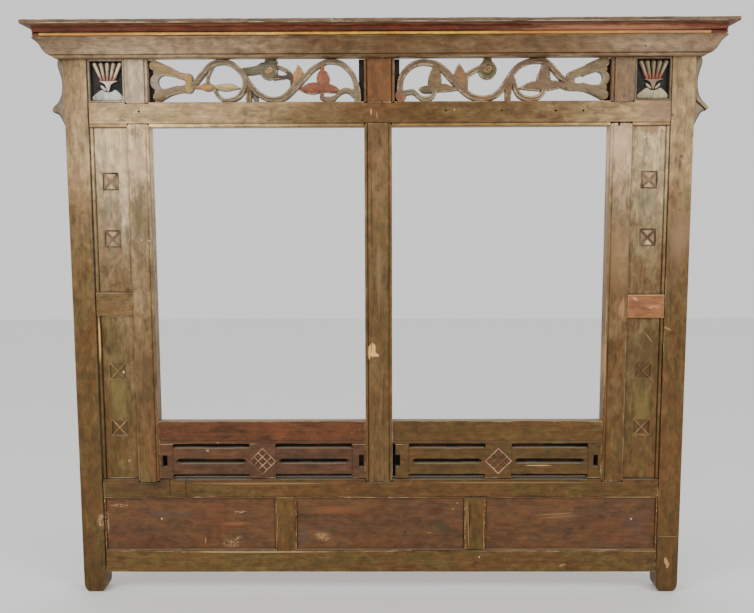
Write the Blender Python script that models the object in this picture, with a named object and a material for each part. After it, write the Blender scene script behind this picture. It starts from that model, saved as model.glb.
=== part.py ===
"""Timber window surround: two posts on rounded feet carry a moulded cornice, and a frame
of rails and stiles between them holds carved, fretted and plain panels round two tall
lights. X runs to the right, Z up, and the face that is seen points to -Y."""

import math
from collections import namedtuple

import bmesh
import bpy
import numpy as np
from mathutils.geometry import tessellate_polygon

# Clearance between faces that touch, and how deep fused or cutting shapes reach in
FIT_GAP = 0.0003
REACH_IN = 0.002

# Posts, with feet that run down past the bottom rail
OVERALL_WIDTH = 1.600
POST_WIDTH = 0.062
POST_DEPTH = 0.054
FOOT_DROP = 0.056
FOOT_ROUND_HEIGHT = 0.020
FOOT_ROUND_SIDE = 0.010
FOOT_ROUND_DEPTH = 0.003
FOOT_STEPS = 4

# Heights of the courses, from the bottom rail up
BOTTOM_RAIL_HEIGHT = 0.059
BOTTOM_PANEL_HEIGHT = 0.149
MID_RAIL_HEIGHT = 0.050
FRET_HEIGHT = 0.094
SILL_RAIL_HEIGHT = 0.0615
LIGHT_HEIGHT = 0.765
UPPER_RAIL_HEIGHT = 0.0625
FRIEZE_HEIGHT = 0.1075
FASCIA_HEIGHT = 0.054

# Widths across the frame, from the posts to the middle
SIDE_BAY_WIDTH = 0.0955
JAMB_WIDTH = 0.056
FRIEZE_STILE_WIDTH = 0.059
MULLION_WIDTH = 0.071
MULLION_OFFSET = -0.003
FRIEZE_MULLION_WIDTH = 0.0775
BOTTOM_STILE_WIDTH = 0.050
BOTTOM_STILE_PLACE = 0.2525
RAIL_DEPTH = 0.042
SILL_DEPTH = 0.027
SILL_SETBACK = 0.002

# The short rail that parts each side bay, a little lower on the right
SIDE_RAIL_HEIGHT = 0.061
SIDE_RAIL_PLACE = {"left": 0.7515, "right": 0.7425}

# Bead worked along the edges of members and round the panels
BEAD_WIDTH = 0.008
QUIRK_WIDTH = 0.001
BEAD_TURN = math.radians(150)
BEAD_STEPS = 4

# Panels and how far their fields lie behind the frame's face
PANEL_THICKNESS = 0.018
BEAD_SETBACK = 0.0015
SIDE_FIELD_DEPTH = 0.006
BOTTOM_FIELD_DEPTH = 0.007

# Crossed squares cut in the side panels, and the band that joins each pair
SQUARE_WIDTH = 0.039
SQUARE_HEIGHT = 0.042
SQUARE_CUT = 0.003
CROSS_BAR = 0.0045
BAND_CUT = 0.0012
UPPER_SQUARES = (0.286, 0.139)
LOWER_SQUARES = (0.289, 0.138)

# Fret boards under the lights: slots cut deep, with a lattice diamond between
FRET_THICKNESS = 0.030
FRET_SETBACK = 0.003
SLOT_DEPTH = 0.021
EDGE_SLOT_HEIGHT = 0.0115
MIDDLE_SLOT_HEIGHT = 0.013
FRET_BLOCK_WIDTH = 0.070
SLOT_END_MARGIN = 0.0365
MIDDLE_SLOT_MARGIN = 0.017
SLOT_POINT = 0.009
NOTCH_WIDTH = 0.0125
NOTCH_HEIGHT = 0.032
NOTCH_MARGIN = 0.009
SHRUNK_EDGE = 0.008
DIAMOND_WIDTH = 0.069
DIAMOND_CUT = 0.002
DIAMOND_CELLS = 3
LATTICE_BAR = 0.0022

# Fascia with shaped ends, the cove and bead above it, and the thin cap board
FASCIA_PROJECTION = 0.012
FASCIA_HOUSING = 0.020
FASCIA_TOP_REACH = 0.072
FASCIA_FOOT_REACH = 0.016
END_CURVE_STEPS = 2
CROWN_BEAD = 0.009
COVE_HEIGHT = 0.0135
COVE_PROJECTION = 0.026
COVE_STEPS = 6
MOULDING_SETBACK = 0.004
CAP_THICKNESS = 0.010
CAP_FRONT_OVERHANG = 0.017
CAP_END_OVERHANG = 0.016

# Scalloped ears on the outer faces of the posts
EAR_HEIGHT = 0.169
EAR_REACH = 0.036
EAR_THICKNESS = 0.034
EAR_SETBACK = 0.008
EAR_CURVE_STEPS = 2

# Carved boards of the frieze, on a hand-drawn grid whose height is 100
SCROLL_THICKNESS = 0.022
SCROLL_SETBACK = 0.005
SCROLL_GRID = (513, 100)
TONGUE_LENGTH = 0.013
TONGUE_THICKNESS = 0.007
CARVING_CELL = 0.0024
CARVING_TOLERANCE = 0.00055
STROKE_SPACING = 0.0015

# Shell panels: a fan of ribs over a cup and a mound, raised from a sunk ground
SHELL_THICKNESS = 0.026
SHELL_SETBACK = 0.001
SHELL_BEAD_WIDTH = 0.0035
SHELL_GROUND_DEPTH = 0.015
SHELL_RELIEF = 0.007
RIB_RELIEF = 0.011
SHELL_GRID = (77, 100)
RIB_COUNT = 5
RIB_FOOT = (40, 53)
RIB_FOOT_SPREAD = 14.5
RIB_FOOT_RADIUS = 3.5
RIB_TIP = (40, 92)
RIB_TIP_SPREAD = 29.5
RIB_TIP_RADIUS = 6.7
RIB_BAR_WIDTH = (4.4, 9.0)

# Places that follow from the sizes above
MOULDING_REACH = FASCIA_TOP_REACH - MOULDING_SETBACK
CAP_REACH = MOULDING_REACH + CAP_END_OVERHANG
CAP_PROJECTION = FASCIA_PROJECTION + COVE_PROJECTION + CAP_FRONT_OVERHANG
FRONT = (CAP_PROJECTION - POST_DEPTH) / 2
HALF_WIDTH = OVERALL_WIDTH / 2
POST_INNER = HALF_WIDTH - POST_WIDTH
JAMB_OUTER = POST_INNER - SIDE_BAY_WIDTH
JAMB_INNER = JAMB_OUTER - JAMB_WIDTH
FRIEZE_STILE_OUTER = JAMB_INNER + FRIEZE_STILE_WIDTH
MULLION_LEFT = MULLION_OFFSET - MULLION_WIDTH / 2
MULLION_RIGHT = MULLION_OFFSET + MULLION_WIDTH / 2
BOTTOM_RAIL_TOP = FOOT_DROP + BOTTOM_RAIL_HEIGHT
MID_RAIL_BOTTOM = BOTTOM_RAIL_TOP + BOTTOM_PANEL_HEIGHT
MID_RAIL_TOP = MID_RAIL_BOTTOM + MID_RAIL_HEIGHT
FRET_TOP = MID_RAIL_TOP + FRET_HEIGHT
SILL_TOP = FRET_TOP + SILL_RAIL_HEIGHT
LIGHT_TOP = SILL_TOP + LIGHT_HEIGHT
UPPER_RAIL_TOP = LIGHT_TOP + UPPER_RAIL_HEIGHT
FRIEZE_TOP = UPPER_RAIL_TOP + FRIEZE_HEIGHT
FASCIA_TOP = FRIEZE_TOP + FASCIA_HEIGHT
MOULDING_TOP = FASCIA_TOP + CROWN_BEAD + COVE_HEIGHT

# Carving strokes: points (along, up, half width) on the frieze grid
LEFT_SCROLL = {
    "upper_arm": [(14, 87, 11.5), (48, 75, 8.6), (76, 63, 7.2), (96, 58, 9)],
    "lower_arm": [(22, 13, 11.5), (48, 24, 8.6), (76, 31, 8), (96, 32, 9.8)],
    "middle_lobe": [(24, 48, 19.4)],
    "upper_web": [(26, 74, 11), (44, 69, 7)],
    "lower_web": [(26, 23, 11), (44, 28, 7)],
    "collar": [(96, 59, 9), (96, 32, 9.5)],
    "first_vine": [(103, 36, 6), (117, 52, 6), (134, 72, 6), (151, 88, 6), (176, 94, 6), (199, 89, 6),
                   (222, 69, 6), (230, 51, 6), (227, 32, 6), (215, 14, 5.5), (197, 6, 5), (180, 5, 4.5),
                   (168, 12, 4.2), (160, 23, 3.8), (156, 36, 3.5)],
    "spur": [(154, 87, 4.3), (145, 69, 3.3), (140, 53, 3.3), (143, 37, 4)],
    "stalk_bud": [(100, 36, 3), (125, 36, 4.3), (140, 36, 8), (155, 35, 4.3)],
    "inner_leaf": [(154, 35, 3), (180, 35, 7), (199, 36, 6), (217, 33, 1)],
    "second_vine": [(223, 71, 6), (238, 46, 6), (252, 29, 6), (269, 15, 6), (289, 7, 6), (310, 7, 6.5),
                    (327, 14, 7.2), (343, 29, 7.9), (360, 45, 7.2), (377, 62, 6.5), (393, 77, 6),
                    (421, 92, 5.5), (438, 94, 5.5), (457, 90, 5.5), (473, 79, 5.5), (486, 63, 5.5),
                    (493, 45, 6), (497, 26, 7.5), (498, 6, 8)],
    "bud_stem": [(228, 72, 7.2), (245, 73, 8), (261, 76, 8.6), (274, 79, 11.5)],
    "bud": [(287, 73, 21.5)],
    "bud_crown": [(289, 92, 12), (302, 94, 6)],
    "upper_curl": [(303, 84, 4), (324, 76, 4.3), (335, 68, 5), (341, 58, 4.3), (343, 40, 5)],
    "lower_curl": [(300, 58, 6.5), (318, 58, 4.3), (331, 59, 4.3), (341, 54, 4)],
    "upright_leaf": [(356, 86, 0.8), (359, 73, 6.5), (356, 59, 10.5), (351, 45, 8.6), (344, 32, 6)],
    "top_petal": [(414, 84, 4), (414, 73, 4), (416, 56, 12.2), (416, 40, 10), (415, 30, 6)],
    "left_petal": [(360, 29, 1.2), (378, 31, 8.4), (392, 32, 11), (410, 33, 8.6)],
    "right_petal": [(420, 34, 9), (439, 30, 7.2), (456, 26, 1.5)],
    "petal_stem": [(413, 29, 5), (413, 12, 5)],
    "hook": [(412, 9, 4), (427, 6, 6), (438, 7, 6), (448, 14, 4.5), (458, 23, 5.5), (470, 27, 5.8),
             (481, 24, 6.5), (492, 16, 7.2)],
    "sprout": [(240, 36, 5), (238, 12, 6.5), (239, 0, 5.8)],
    "sprout_web": [(249, 24, 7), (255, 7, 6.5)],
}
LEFT_HOLE = [(38, 48, 15.5), (55, 49, 12.2), (71, 48, 6.5), (88, 47, 0.6)]
RIGHT_SCROLL = {
    "scroll_end": [(15, 14, 13)],
    "first_vine": [(13, 24, 6.7), (15, 50, 6.7), (25, 69, 6.5), (42, 84, 6.5), (63, 91, 6.5), (83, 90, 6.5),
                   (101, 85, 7), (119, 72, 7.6), (135, 55, 8), (152, 37, 7.6), (167, 23, 7), (183, 12, 6.7),
                   (201, 7, 6.7), (219, 7, 6.4), (236, 12, 6.7), (251, 23, 7), (266, 42, 7.5), (277, 60, 7),
                   (288, 75, 6.8), (301, 85, 6.3), (319, 92, 6), (340, 94, 6), (357, 92, 6.5), (370, 83, 6.3),
                   (381, 71, 6.2), (395, 56, 6), (412, 44, 7)],
    "first_top_petal": [(101, 84, 5), (97, 64, 10.4), (96, 47, 13), (93, 30, 10)],
    "first_right_petal": [(100, 32, 8), (119, 32, 7.6), (135, 30, 5), (152, 30, 3)],
    "first_left_petal": [(90, 30, 8), (72, 28, 7), (61, 30, 2.5)],
    "hook": [(18, 19, 6), (41, 23, 6), (50, 19, 5), (61, 10, 5), (75, 6, 6.3), (89, 11, 5.6), (97, 24, 5)],
    "upright_leaf": [(153, 88, 0.8), (154, 74, 7), (156, 60, 11), (160, 44, 10.4), (165, 30, 7.6)],
    "second_vine": [(168, 28, 7), (169, 47, 5.8), (172, 60, 5.8), (183, 68, 6), (197, 75, 6), (212, 78, 9)],
    "rosette": [(221, 73, 22)],
    "rosette_crown": [(221, 94, 10)],
    "sprout": [(274, 44, 7), (271, 22, 7), (270, 2, 6.3)],
    "spiral": [(282, 50, 5.6), (290, 26, 6), (301, 12, 6), (318, 6, 6), (336, 7, 6), (349, 14, 5.3),
               (359, 30, 5)],
    "second_top_petal": [(359, 90, 5), (357, 67, 9.7), (355, 50, 13.5), (355, 36, 10)],
    "second_left_petal": [(296, 30, 1.2), (315, 34, 6.3), (331, 36, 9), (350, 36, 10)],
    "second_right_petal": [(360, 36, 10), (383, 38, 8.3), (396, 38, 6), (412, 34, 7)],
    "collar": [(419, 59, 9.9), (419, 34, 9.9)],
    "upper_arm": [(423, 62, 8.6), (447, 70, 9.3), (467, 80, 9.9), (498, 91, 11.5)],
    "lower_arm": [(423, 33, 8.6), (447, 32, 8.6), (467, 27, 9.3), (497, 15, 11.5)],
    "middle_lobe": [(492, 53, 17.9)],
    "upper_web": [(490, 77, 10), (470, 73, 7)],
    "lower_web": [(490, 28, 10), (470, 32, 7)],
}
RIGHT_HOLE = [(480, 53, 14.8), (467, 51, 12.4), (452, 50, 7.4), (432, 48, 0.6)]

# Cup, mound and curl of the shell carving, on the shell panel's grid
SHELL_STROKES = {
    "cup_left": [(22, 49, 1.6), (31, 46, 3.6), (40, 43, 6)],
    "cup_right": [(62, 48, 1.6), (51, 46, 3.6), (41, 43, 6)],
    "stem": [(40.5, 46, 6), (40.5, 35, 4.4), (40.5, 27, 3.6), (40.5, 16, 5)],
    "left_hump": [(26, 21, 6.5), (20, 15, 7.5), (8, 8, 5.5)],
    "right_hump": [(57, 21, 6.5), (62, 15, 7.5), (71, 8, 5.5)],
    "mound": [(27, 13, 11), (41, 10, 11), (56, 13, 11)],
    "skirt": [(7, 6, 5), (72, 6, 5)],
    "curl": [(25, 37, 2.4), (29, 33, 3), (34, 28, 2.4)],
}

Bay = namedtuple("Bay", "left right bottom top")
Finish = namedtuple("Finish", "name colour roughness")

OLIVE = Finish("olive_paint", (0.130, 0.090, 0.042), 0.62)
GREY_OLIVE = Finish("grey_olive_paint", (0.215, 0.160, 0.098), 0.66)
RED_BROWN = Finish("red_brown_paint", (0.150, 0.062, 0.032), 0.60)
COVE_RED = Finish("cove_red_paint", (0.140, 0.036, 0.022), 0.55)
BARE_GREY = Finish("bare_grey_timber", (0.185, 0.165, 0.130), 0.85)
CARVING = Finish("carved_paint", (0.200, 0.145, 0.085), 0.64)
SHELL_PAINT = Finish("shell_paint", (0.400, 0.370, 0.300), 0.68)


def clear_scene():
    """Remove every object, so the script builds the same model each run."""
    for item in list(bpy.data.objects):
        bpy.data.objects.remove(item, do_unlink=True)


def finish_material(finish):
    """Principled material for a finish, made once."""
    material = bpy.data.materials.get(finish.name)
    if material is None:
        material = bpy.data.materials.new(finish.name)
        material.use_nodes = True
        shader = material.node_tree.nodes["Principled BSDF"]
        shader.inputs["Base Color"].default_value = (*finish.colour, 1.0)
        shader.inputs["Roughness"].default_value = finish.roughness
        shader.inputs["Metallic"].default_value = 0.0
    return material


def solid_from(name, points, faces, finish=None):
    """Object with one closed mesh whose faces point out."""
    mesh = bpy.data.meshes.new(name)
    mesh.from_pydata([tuple(map(float, point)) for point in points], [], faces)
    work = bmesh.new()
    work.from_mesh(mesh)
    bmesh.ops.recalc_face_normals(work, faces=work.faces[:])
    work.to_mesh(mesh)
    work.free()
    item = bpy.data.objects.new(name, mesh)
    bpy.context.scene.collection.objects.link(item)
    if finish is not None:
        mesh.materials.append(finish_material(finish))
    return item


def loft(name, rings, finish=None):
    """Solid through rings of points, each with as many points, capped at both ends."""
    count = len(rings[0])
    points = [point for ring in rings for point in ring]
    faces = [list(range(count)), list(range(len(points) - count, len(points)))]
    for level in range(len(rings) - 1):
        for corner in range(count):
            after = (corner + 1) % count
            low, high = level * count, (level + 1) * count
            faces.append([low + corner, low + after, high + after, high + corner])
    return solid_from(name, points, faces, finish)


def bar_along(axis, name, section, low, high, finish=None):
    """Bar with a constant section: (across, depth) points swept along X or Z."""
    if axis == "x":
        rings = [[(end, FRONT + depth, across) for across, depth in section] for end in (low, high)]
    else:
        rings = [[(across, FRONT + depth, end) for across, depth in section] for end in (low, high)]
    return loft(name, rings, finish)


def plate(name, outline, near, far, finish=None):
    """Flat plate: an outline of (x, z) points between two depths behind the face."""
    return loft(name, [[(x, FRONT + depth, z) for x, z in outline] for depth in (near, far)], finish)


def combine(item, tool, operation):
    """Fuse, cut or trim an item with a tool that stays out of the model."""
    tool.hide_render = True
    tool.display_type = "WIRE"
    modifier = item.modifiers.new(operation.lower(), "BOOLEAN")
    modifier.operation = operation
    modifier.solver = "EXACT"
    modifier.object = tool


def fitted(bay):
    """The bay less half the clearance on each side."""
    half = FIT_GAP / 2
    return Bay(bay.left + half, bay.right - half, bay.bottom + half, bay.top - half)


def placed(side, inner, outer, bottom, top):
    """Bay between two distances from the middle, on the left or the right."""
    if side == "left":
        return fitted(Bay(-outer, -inner, bottom, top))
    return fitted(Bay(inner, outer, bottom, top))


def bead_arc(width=BEAD_WIDTH):
    """(across, depth) points of an edge bead, from the outer face in to its quirk."""
    radius = width / 2
    turns = [BEAD_TURN * step / BEAD_STEPS for step in range(BEAD_STEPS + 1)]
    return [(radius - radius * math.cos(turn), radius - radius * math.sin(turn)) for turn in turns]


def member_section(low, high, depth, bead_low=False, bead_high=False, face=0.0):
    """Section of a rail or stile, with a bead along the edges that are asked for."""
    quirk = BEAD_WIDTH + QUIRK_WIDTH
    section = [(low, depth)]
    if bead_low:
        section += [(low + across, face + sunk) for across, sunk in bead_arc()]
        section.append((low + quirk, face))
    else:
        section.append((low, face))
    if bead_high:
        section.append((high - quirk, face))
        section += [(high - across, face + sunk) for across, sunk in reversed(bead_arc())]
    else:
        section.append((high, face))
    section.append((high, depth))
    return section


def rectangle(bay, inset):
    """Corners of a bay, drawn in by an inset."""
    return [(bay.left + inset, bay.bottom + inset), (bay.right - inset, bay.bottom + inset),
            (bay.right - inset, bay.top - inset), (bay.left + inset, bay.top - inset)]


def framed_board(name, bay, back, setback, field, finish, bead=BEAD_WIDTH):
    """Board with a mitred bead round its face and a field at its own depth."""
    steps = [(0.0, back)]
    steps += [(across, setback + sunk) for across, sunk in bead_arc(bead)]
    steps.append((bead + QUIRK_WIDTH, field))
    rings = [[(x, FRONT + depth, z) for x, z in rectangle(bay, inset)] for inset, depth in steps]
    return loft(name, rings, finish)


def build_post(side):
    """Square post with a bullet-round foot, cut back at the top to house the fascia."""
    bay = placed(side, POST_INNER, HALF_WIDTH, 0.0, FRIEZE_TOP)
    levels = []
    for step in range(FOOT_STEPS + 1):
        turn = math.pi / 2 * step / FOOT_STEPS
        levels.append((FOOT_ROUND_HEIGHT * (1 - math.cos(turn)), 1 - math.sin(turn)))
    levels.append((bay.top, 0.0))
    rings = []
    for height, share in levels:
        left, right = bay.left + share * FOOT_ROUND_SIDE, bay.right - share * FOOT_ROUND_SIDE
        near, far = FRONT + share * FOOT_ROUND_DEPTH, FRONT + POST_DEPTH - share * FOOT_ROUND_DEPTH
        rings.append([(left, near, height), (right, near, height), (right, far, height), (left, far, height)])
    near, far = FRONT + FASCIA_HOUSING + FIT_GAP, FRONT + POST_DEPTH
    for height in (bay.top, MOULDING_TOP - FIT_GAP / 2):
        rings.append([(bay.left, near, height), (bay.right, near, height),
                      (bay.right, far, height), (bay.left, far, height)])
    loft(f"post_{side}", rings, OLIVE)


def build_ear(side):
    """Scalloped bracket on the post's outer face, ending below in a hooked tip."""
    shares = smooth_path([(0.08, 0.0), (0.30, 0.10), (0.56, 0.19), (0.90, 0.225), (1.0, 0.27), (0.88, 0.315),
                          (0.58, 0.38), (0.36, 0.47), (0.25, 0.60), (0.27, 0.72), (0.42, 0.84), (0.53, 0.93),
                          (0.50, 1.0)], EAR_CURVE_STEPS)
    sign = -1 if side == "left" else 1
    inner = HALF_WIDTH + FIT_GAP / 2
    foot, reach = FRIEZE_TOP - EAR_HEIGHT, EAR_REACH - FIT_GAP
    outline = [(sign * (inner + reach * out), foot + (EAR_HEIGHT - FIT_GAP) * up) for out, up in shares]
    outline = [(sign * inner, foot)] + outline + [(sign * inner, foot + EAR_HEIGHT - FIT_GAP)]
    plate(f"ear_{side}", outline, EAR_SETBACK, EAR_SETBACK + EAR_THICKNESS, OLIVE)


def build_fascia():
    """Flat fascia across the posts: a bead along its foot, each end cut to a double curve."""
    bay = fitted(Bay(-HALF_WIDTH - FASCIA_TOP_REACH, HALF_WIDTH + FASCIA_TOP_REACH, FRIEZE_TOP, FASCIA_TOP))
    section = member_section(bay.bottom, bay.top, FASCIA_HOUSING, bead_low=True, face=-FASCIA_PROJECTION)
    board = bar_along("x", "fascia_board", section, bay.left, bay.right, GREY_OLIVE)
    shares = smooth_path([(1.0, 1.0), (0.97, 0.90), (0.73, 0.70), (0.57, 0.45), (0.40, 0.23), (0.14, 0.09),
                          (0.0, 0.0)], END_CURVE_STEPS)
    top, reach = FASCIA_TOP_REACH, FASCIA_TOP_REACH - FASCIA_FOOT_REACH
    height = bay.top - bay.bottom
    ends = [(FASCIA_FOOT_REACH + reach * out, bay.bottom + height * up) for out, up in shares]
    for side, sign in (("left", -1), ("right", 1)):
        outline = [(sign * (HALF_WIDTH + out), level) for out, level in ends]
        outline += [(sign * (HALF_WIDTH + FASCIA_FOOT_REACH), bay.bottom - REACH_IN),
                    (sign * (HALF_WIDTH + top + REACH_IN), bay.bottom - REACH_IN),
                    (sign * (HALF_WIDTH + top + REACH_IN), bay.top + REACH_IN),
                    (sign * (HALF_WIDTH + top), bay.top + REACH_IN)]
        cutter = plate(f"fascia_end_{side}", outline, -FASCIA_PROJECTION - REACH_IN,
                       FASCIA_HOUSING + REACH_IN)
        combine(board, cutter, "DIFFERENCE")


def build_moulding():
    """Bead and cove between the fascia and the cap, cut square at both ends."""
    bottom, top = FASCIA_TOP + FIT_GAP / 2, MOULDING_TOP - FIT_GAP / 2
    radius = CROWN_BEAD / 2
    section = [(bottom, FASCIA_HOUSING), (bottom, -FASCIA_PROJECTION)]
    for step in range(BEAD_STEPS + 1):
        turn = math.pi * step / BEAD_STEPS
        section.append((bottom + radius * (1 - math.cos(turn)), -FASCIA_PROJECTION - radius * math.sin(turn)))
    cove_foot = bottom + CROWN_BEAD
    for step in range(1, COVE_STEPS + 1):
        turn = math.pi / 2 * step / COVE_STEPS
        rise = (top - cove_foot) * math.sin(turn)
        section.append((cove_foot + rise, -FASCIA_PROJECTION - COVE_PROJECTION * (1 - math.cos(turn))))
    section.append((top, FASCIA_HOUSING))
    reach = HALF_WIDTH + MOULDING_REACH
    bar_along("x", "cornice_moulding", section, -reach, reach, COVE_RED)


def build_cap():
    """Thin board over the moulding, running forward past it and out past both ends."""
    reach, bottom = HALF_WIDTH + CAP_REACH, MOULDING_TOP + FIT_GAP / 2
    outline = [(-reach, bottom), (reach, bottom), (reach, bottom + CAP_THICKNESS), (-reach, bottom + CAP_THICKNESS)]
    plate("cornice_cap", outline, -CAP_PROJECTION, POST_DEPTH, BARE_GREY)


def build_rails():
    """The rails that run from post to post, and the sill rails under the lights."""
    across = fitted(Bay(-POST_INNER, POST_INNER, 0, 1))
    for name, bottom, top, bead_low, bead_high in (
            ("bottom_rail", FOOT_DROP, BOTTOM_RAIL_TOP, False, False),
            ("mid_rail", MID_RAIL_BOTTOM, MID_RAIL_TOP, False, True),
            ("upper_rail", LIGHT_TOP, UPPER_RAIL_TOP, True, False)):
        bay = fitted(Bay(0, 1, bottom, top))
        section = member_section(bay.bottom, bay.top, RAIL_DEPTH, bead_low, bead_high)
        bar_along("x", name, section, across.left, across.right, OLIVE)
    for side, left, right, finish in (("left", -JAMB_INNER, MULLION_LEFT, RED_BROWN),
                                      ("right", MULLION_RIGHT, JAMB_INNER, OLIVE)):
        bay = fitted(Bay(left, right, FRET_TOP, SILL_TOP))
        back = SILL_SETBACK + SILL_DEPTH
        section = member_section(bay.bottom, bay.top, back, bead_low=True, face=SILL_SETBACK)
        bar_along("x", f"sill_rail_{side}", section, bay.left, bay.right, finish)


def build_stiles():
    """Jambs and mullion beside the lights, and the short stiles between the friezes."""
    for side in ("left", "right"):
        bay = placed(side, JAMB_INNER, JAMB_OUTER, MID_RAIL_TOP, LIGHT_TOP)
        section = member_section(bay.left, bay.right, RAIL_DEPTH, side == "right", side == "left")
        bar_along("z", f"jamb_{side}", section, bay.bottom, bay.top, OLIVE)
        short = placed(side, JAMB_INNER, FRIEZE_STILE_OUTER, UPPER_RAIL_TOP, FRIEZE_TOP)
        framed_board(f"frieze_stile_{side}", short, RAIL_DEPTH, 0.0, 0.0, GREY_OLIVE)
        low = placed(side, BOTTOM_STILE_PLACE - BOTTOM_STILE_WIDTH / 2,
                     BOTTOM_STILE_PLACE + BOTTOM_STILE_WIDTH / 2, BOTTOM_RAIL_TOP, MID_RAIL_BOTTOM)
        section = member_section(low.left, low.right, RAIL_DEPTH)
        bar_along("z", f"bottom_stile_{side}", section, low.bottom, low.top, OLIVE)
    bay = fitted(Bay(MULLION_LEFT, MULLION_RIGHT, MID_RAIL_TOP, LIGHT_TOP))
    section = member_section(bay.left, bay.right, RAIL_DEPTH, True, True)
    bar_along("z", "mullion", section, bay.bottom, bay.top, OLIVE)
    half = FRIEZE_MULLION_WIDTH / 2
    short = fitted(Bay(-half, half, UPPER_RAIL_TOP, FRIEZE_TOP))
    framed_board("frieze_mullion", short, RAIL_DEPTH, 0.0, 0.0, OLIVE)


def square_cutter(name, centre_x, centre_z, field):
    """Four triangular sinkings that leave a square's diagonals standing as a cross."""
    half_x, half_z = SQUARE_WIDTH / 2, SQUARE_HEIGHT / 2
    slope = math.hypot(half_x, half_z)
    back_x, back_z = CROSS_BAR / 2 * slope / half_z, CROSS_BAR / 2 * slope / half_x
    points, faces = [], []
    for corner_a, corner_b, shift in (((-1, -1), (1, -1), (0, -1)), ((1, -1), (1, 1), (1, 0)),
                                      ((1, 1), (-1, 1), (0, 1)), ((-1, 1), (-1, -1), (-1, 0))):
        inner = (shift[0] * back_x, shift[1] * back_z)
        outline = [inner]
        for corner in (corner_a, corner_b):
            pull_x = 0.0 if shift[0] else -corner[0] * back_x
            pull_z = 0.0 if shift[1] else -corner[1] * back_z
            outline.append((corner[0] * half_x + pull_x, corner[1] * half_z + pull_z))
        start = len(points)
        for depth in (field - REACH_IN, field + SQUARE_CUT):
            points += [(centre_x + x, FRONT + depth, centre_z + z) for x, z in outline]
        faces += [[start, start + 1, start + 2], [start + 5, start + 4, start + 3]]
        faces += [[start + a, start + b, start + 3 + b, start + 3 + a] for a, b in ((0, 1), (1, 2), (2, 0))]
    return solid_from(name, points, faces)


def build_side_panels(side):
    """Two bead-framed panels with crossed squares, parted by a short rail."""
    rail_bottom = SIDE_RAIL_PLACE[side]
    rail_top = rail_bottom + SIDE_RAIL_HEIGHT
    rail = placed(side, JAMB_OUTER, POST_INNER, rail_bottom, rail_top)
    section = member_section(rail.bottom, rail.top, RAIL_DEPTH)
    finish = OLIVE if side == "left" else RED_BROWN
    bar_along("x", f"side_rail_{side}", section, rail.left, rail.right, finish)
    for level, bottom, top, heights in (("upper", rail_top, LIGHT_TOP, UPPER_SQUARES),
                                        ("lower", MID_RAIL_TOP, rail_bottom, LOWER_SQUARES)):
        bay = placed(side, JAMB_OUTER, POST_INNER, bottom, top)
        name = f"side_panel_{level}_{side}"
        back = SIDE_FIELD_DEPTH + PANEL_THICKNESS
        board = framed_board(name, bay, back, BEAD_SETBACK, SIDE_FIELD_DEPTH, OLIVE)
        centre_x = (bay.left + bay.right) / 2
        foot = SIDE_RAIL_PLACE["left"] + SIDE_RAIL_HEIGHT if level == "upper" else MID_RAIL_TOP
        places = [foot + height for height in heights]
        for index, centre_z in enumerate(places):
            cutter = square_cutter(f"{name}_square_{index + 1}", centre_x, centre_z, SIDE_FIELD_DEPTH)
            combine(board, cutter, "DIFFERENCE")
        low, high = places[1] + SQUARE_HEIGHT / 2 + CROSS_BAR, places[0] - SQUARE_HEIGHT / 2 - CROSS_BAR
        band = Bay(centre_x - SQUARE_WIDTH / 2, centre_x + SQUARE_WIDTH / 2, low, high)
        cutter = plate(f"{name}_band", rectangle(band, 0.0), SIDE_FIELD_DEPTH - REACH_IN,
                       SIDE_FIELD_DEPTH + BAND_CUT)
        combine(board, cutter, "DIFFERENCE")


def fret_slots(bay):
    """Outlines of a fret board's slots, as (x, z) points."""
    middle_x, middle_z = (bay.left + bay.right) / 2, (bay.bottom + bay.top) / 2
    outlines = []
    for sign in (-1, 1):
        near = middle_x + sign * FRET_BLOCK_WIDTH / 2
        far = middle_x + sign * ((bay.right - bay.left) / 2 - SLOT_END_MARGIN)
        left, right = min(near, far), max(near, far)
        low_slot = Bay(left, right, bay.bottom - REACH_IN, bay.bottom + EDGE_SLOT_HEIGHT)
        high_slot = Bay(left, right, bay.top - EDGE_SLOT_HEIGHT, bay.top + REACH_IN)
        outlines += [rectangle(low_slot, 0.0), rectangle(high_slot, 0.0)]
        left, right = left + MIDDLE_SLOT_MARGIN / 2, right - MIDDLE_SLOT_MARGIN / 2
        half = MIDDLE_SLOT_HEIGHT / 2
        outlines.append([(left, middle_z), (left + SLOT_POINT, middle_z - half),
                         (right - SLOT_POINT, middle_z - half), (right, middle_z),
                         (right - SLOT_POINT, middle_z + half), (left + SLOT_POINT, middle_z + half)])
        end = middle_x + sign * ((bay.right - bay.left) / 2 - NOTCH_MARGIN)
        inner = end - sign * NOTCH_WIDTH
        notch = Bay(min(end, inner), max(end, inner), middle_z - NOTCH_HEIGHT / 2, middle_z + NOTCH_HEIGHT / 2)
        outlines.append(rectangle(notch, 0.0))
    return outlines


def diamond_cells(centre_x, centre_z):
    """Outlines of the sunk cells of a lattice set on its corner."""
    pitch = DIAMOND_WIDTH / 2 / DIAMOND_CELLS
    half = pitch - LATTICE_BAR
    outlines = []
    for row in range(DIAMOND_CELLS):
        for column in range(DIAMOND_CELLS):
            x = centre_x + (column - row) * pitch
            z = centre_z + (column + row - DIAMOND_CELLS + 1) * pitch
            outlines.append([(x - half, z), (x, z - half), (x + half, z), (x, z + half)])
    return outlines


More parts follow.
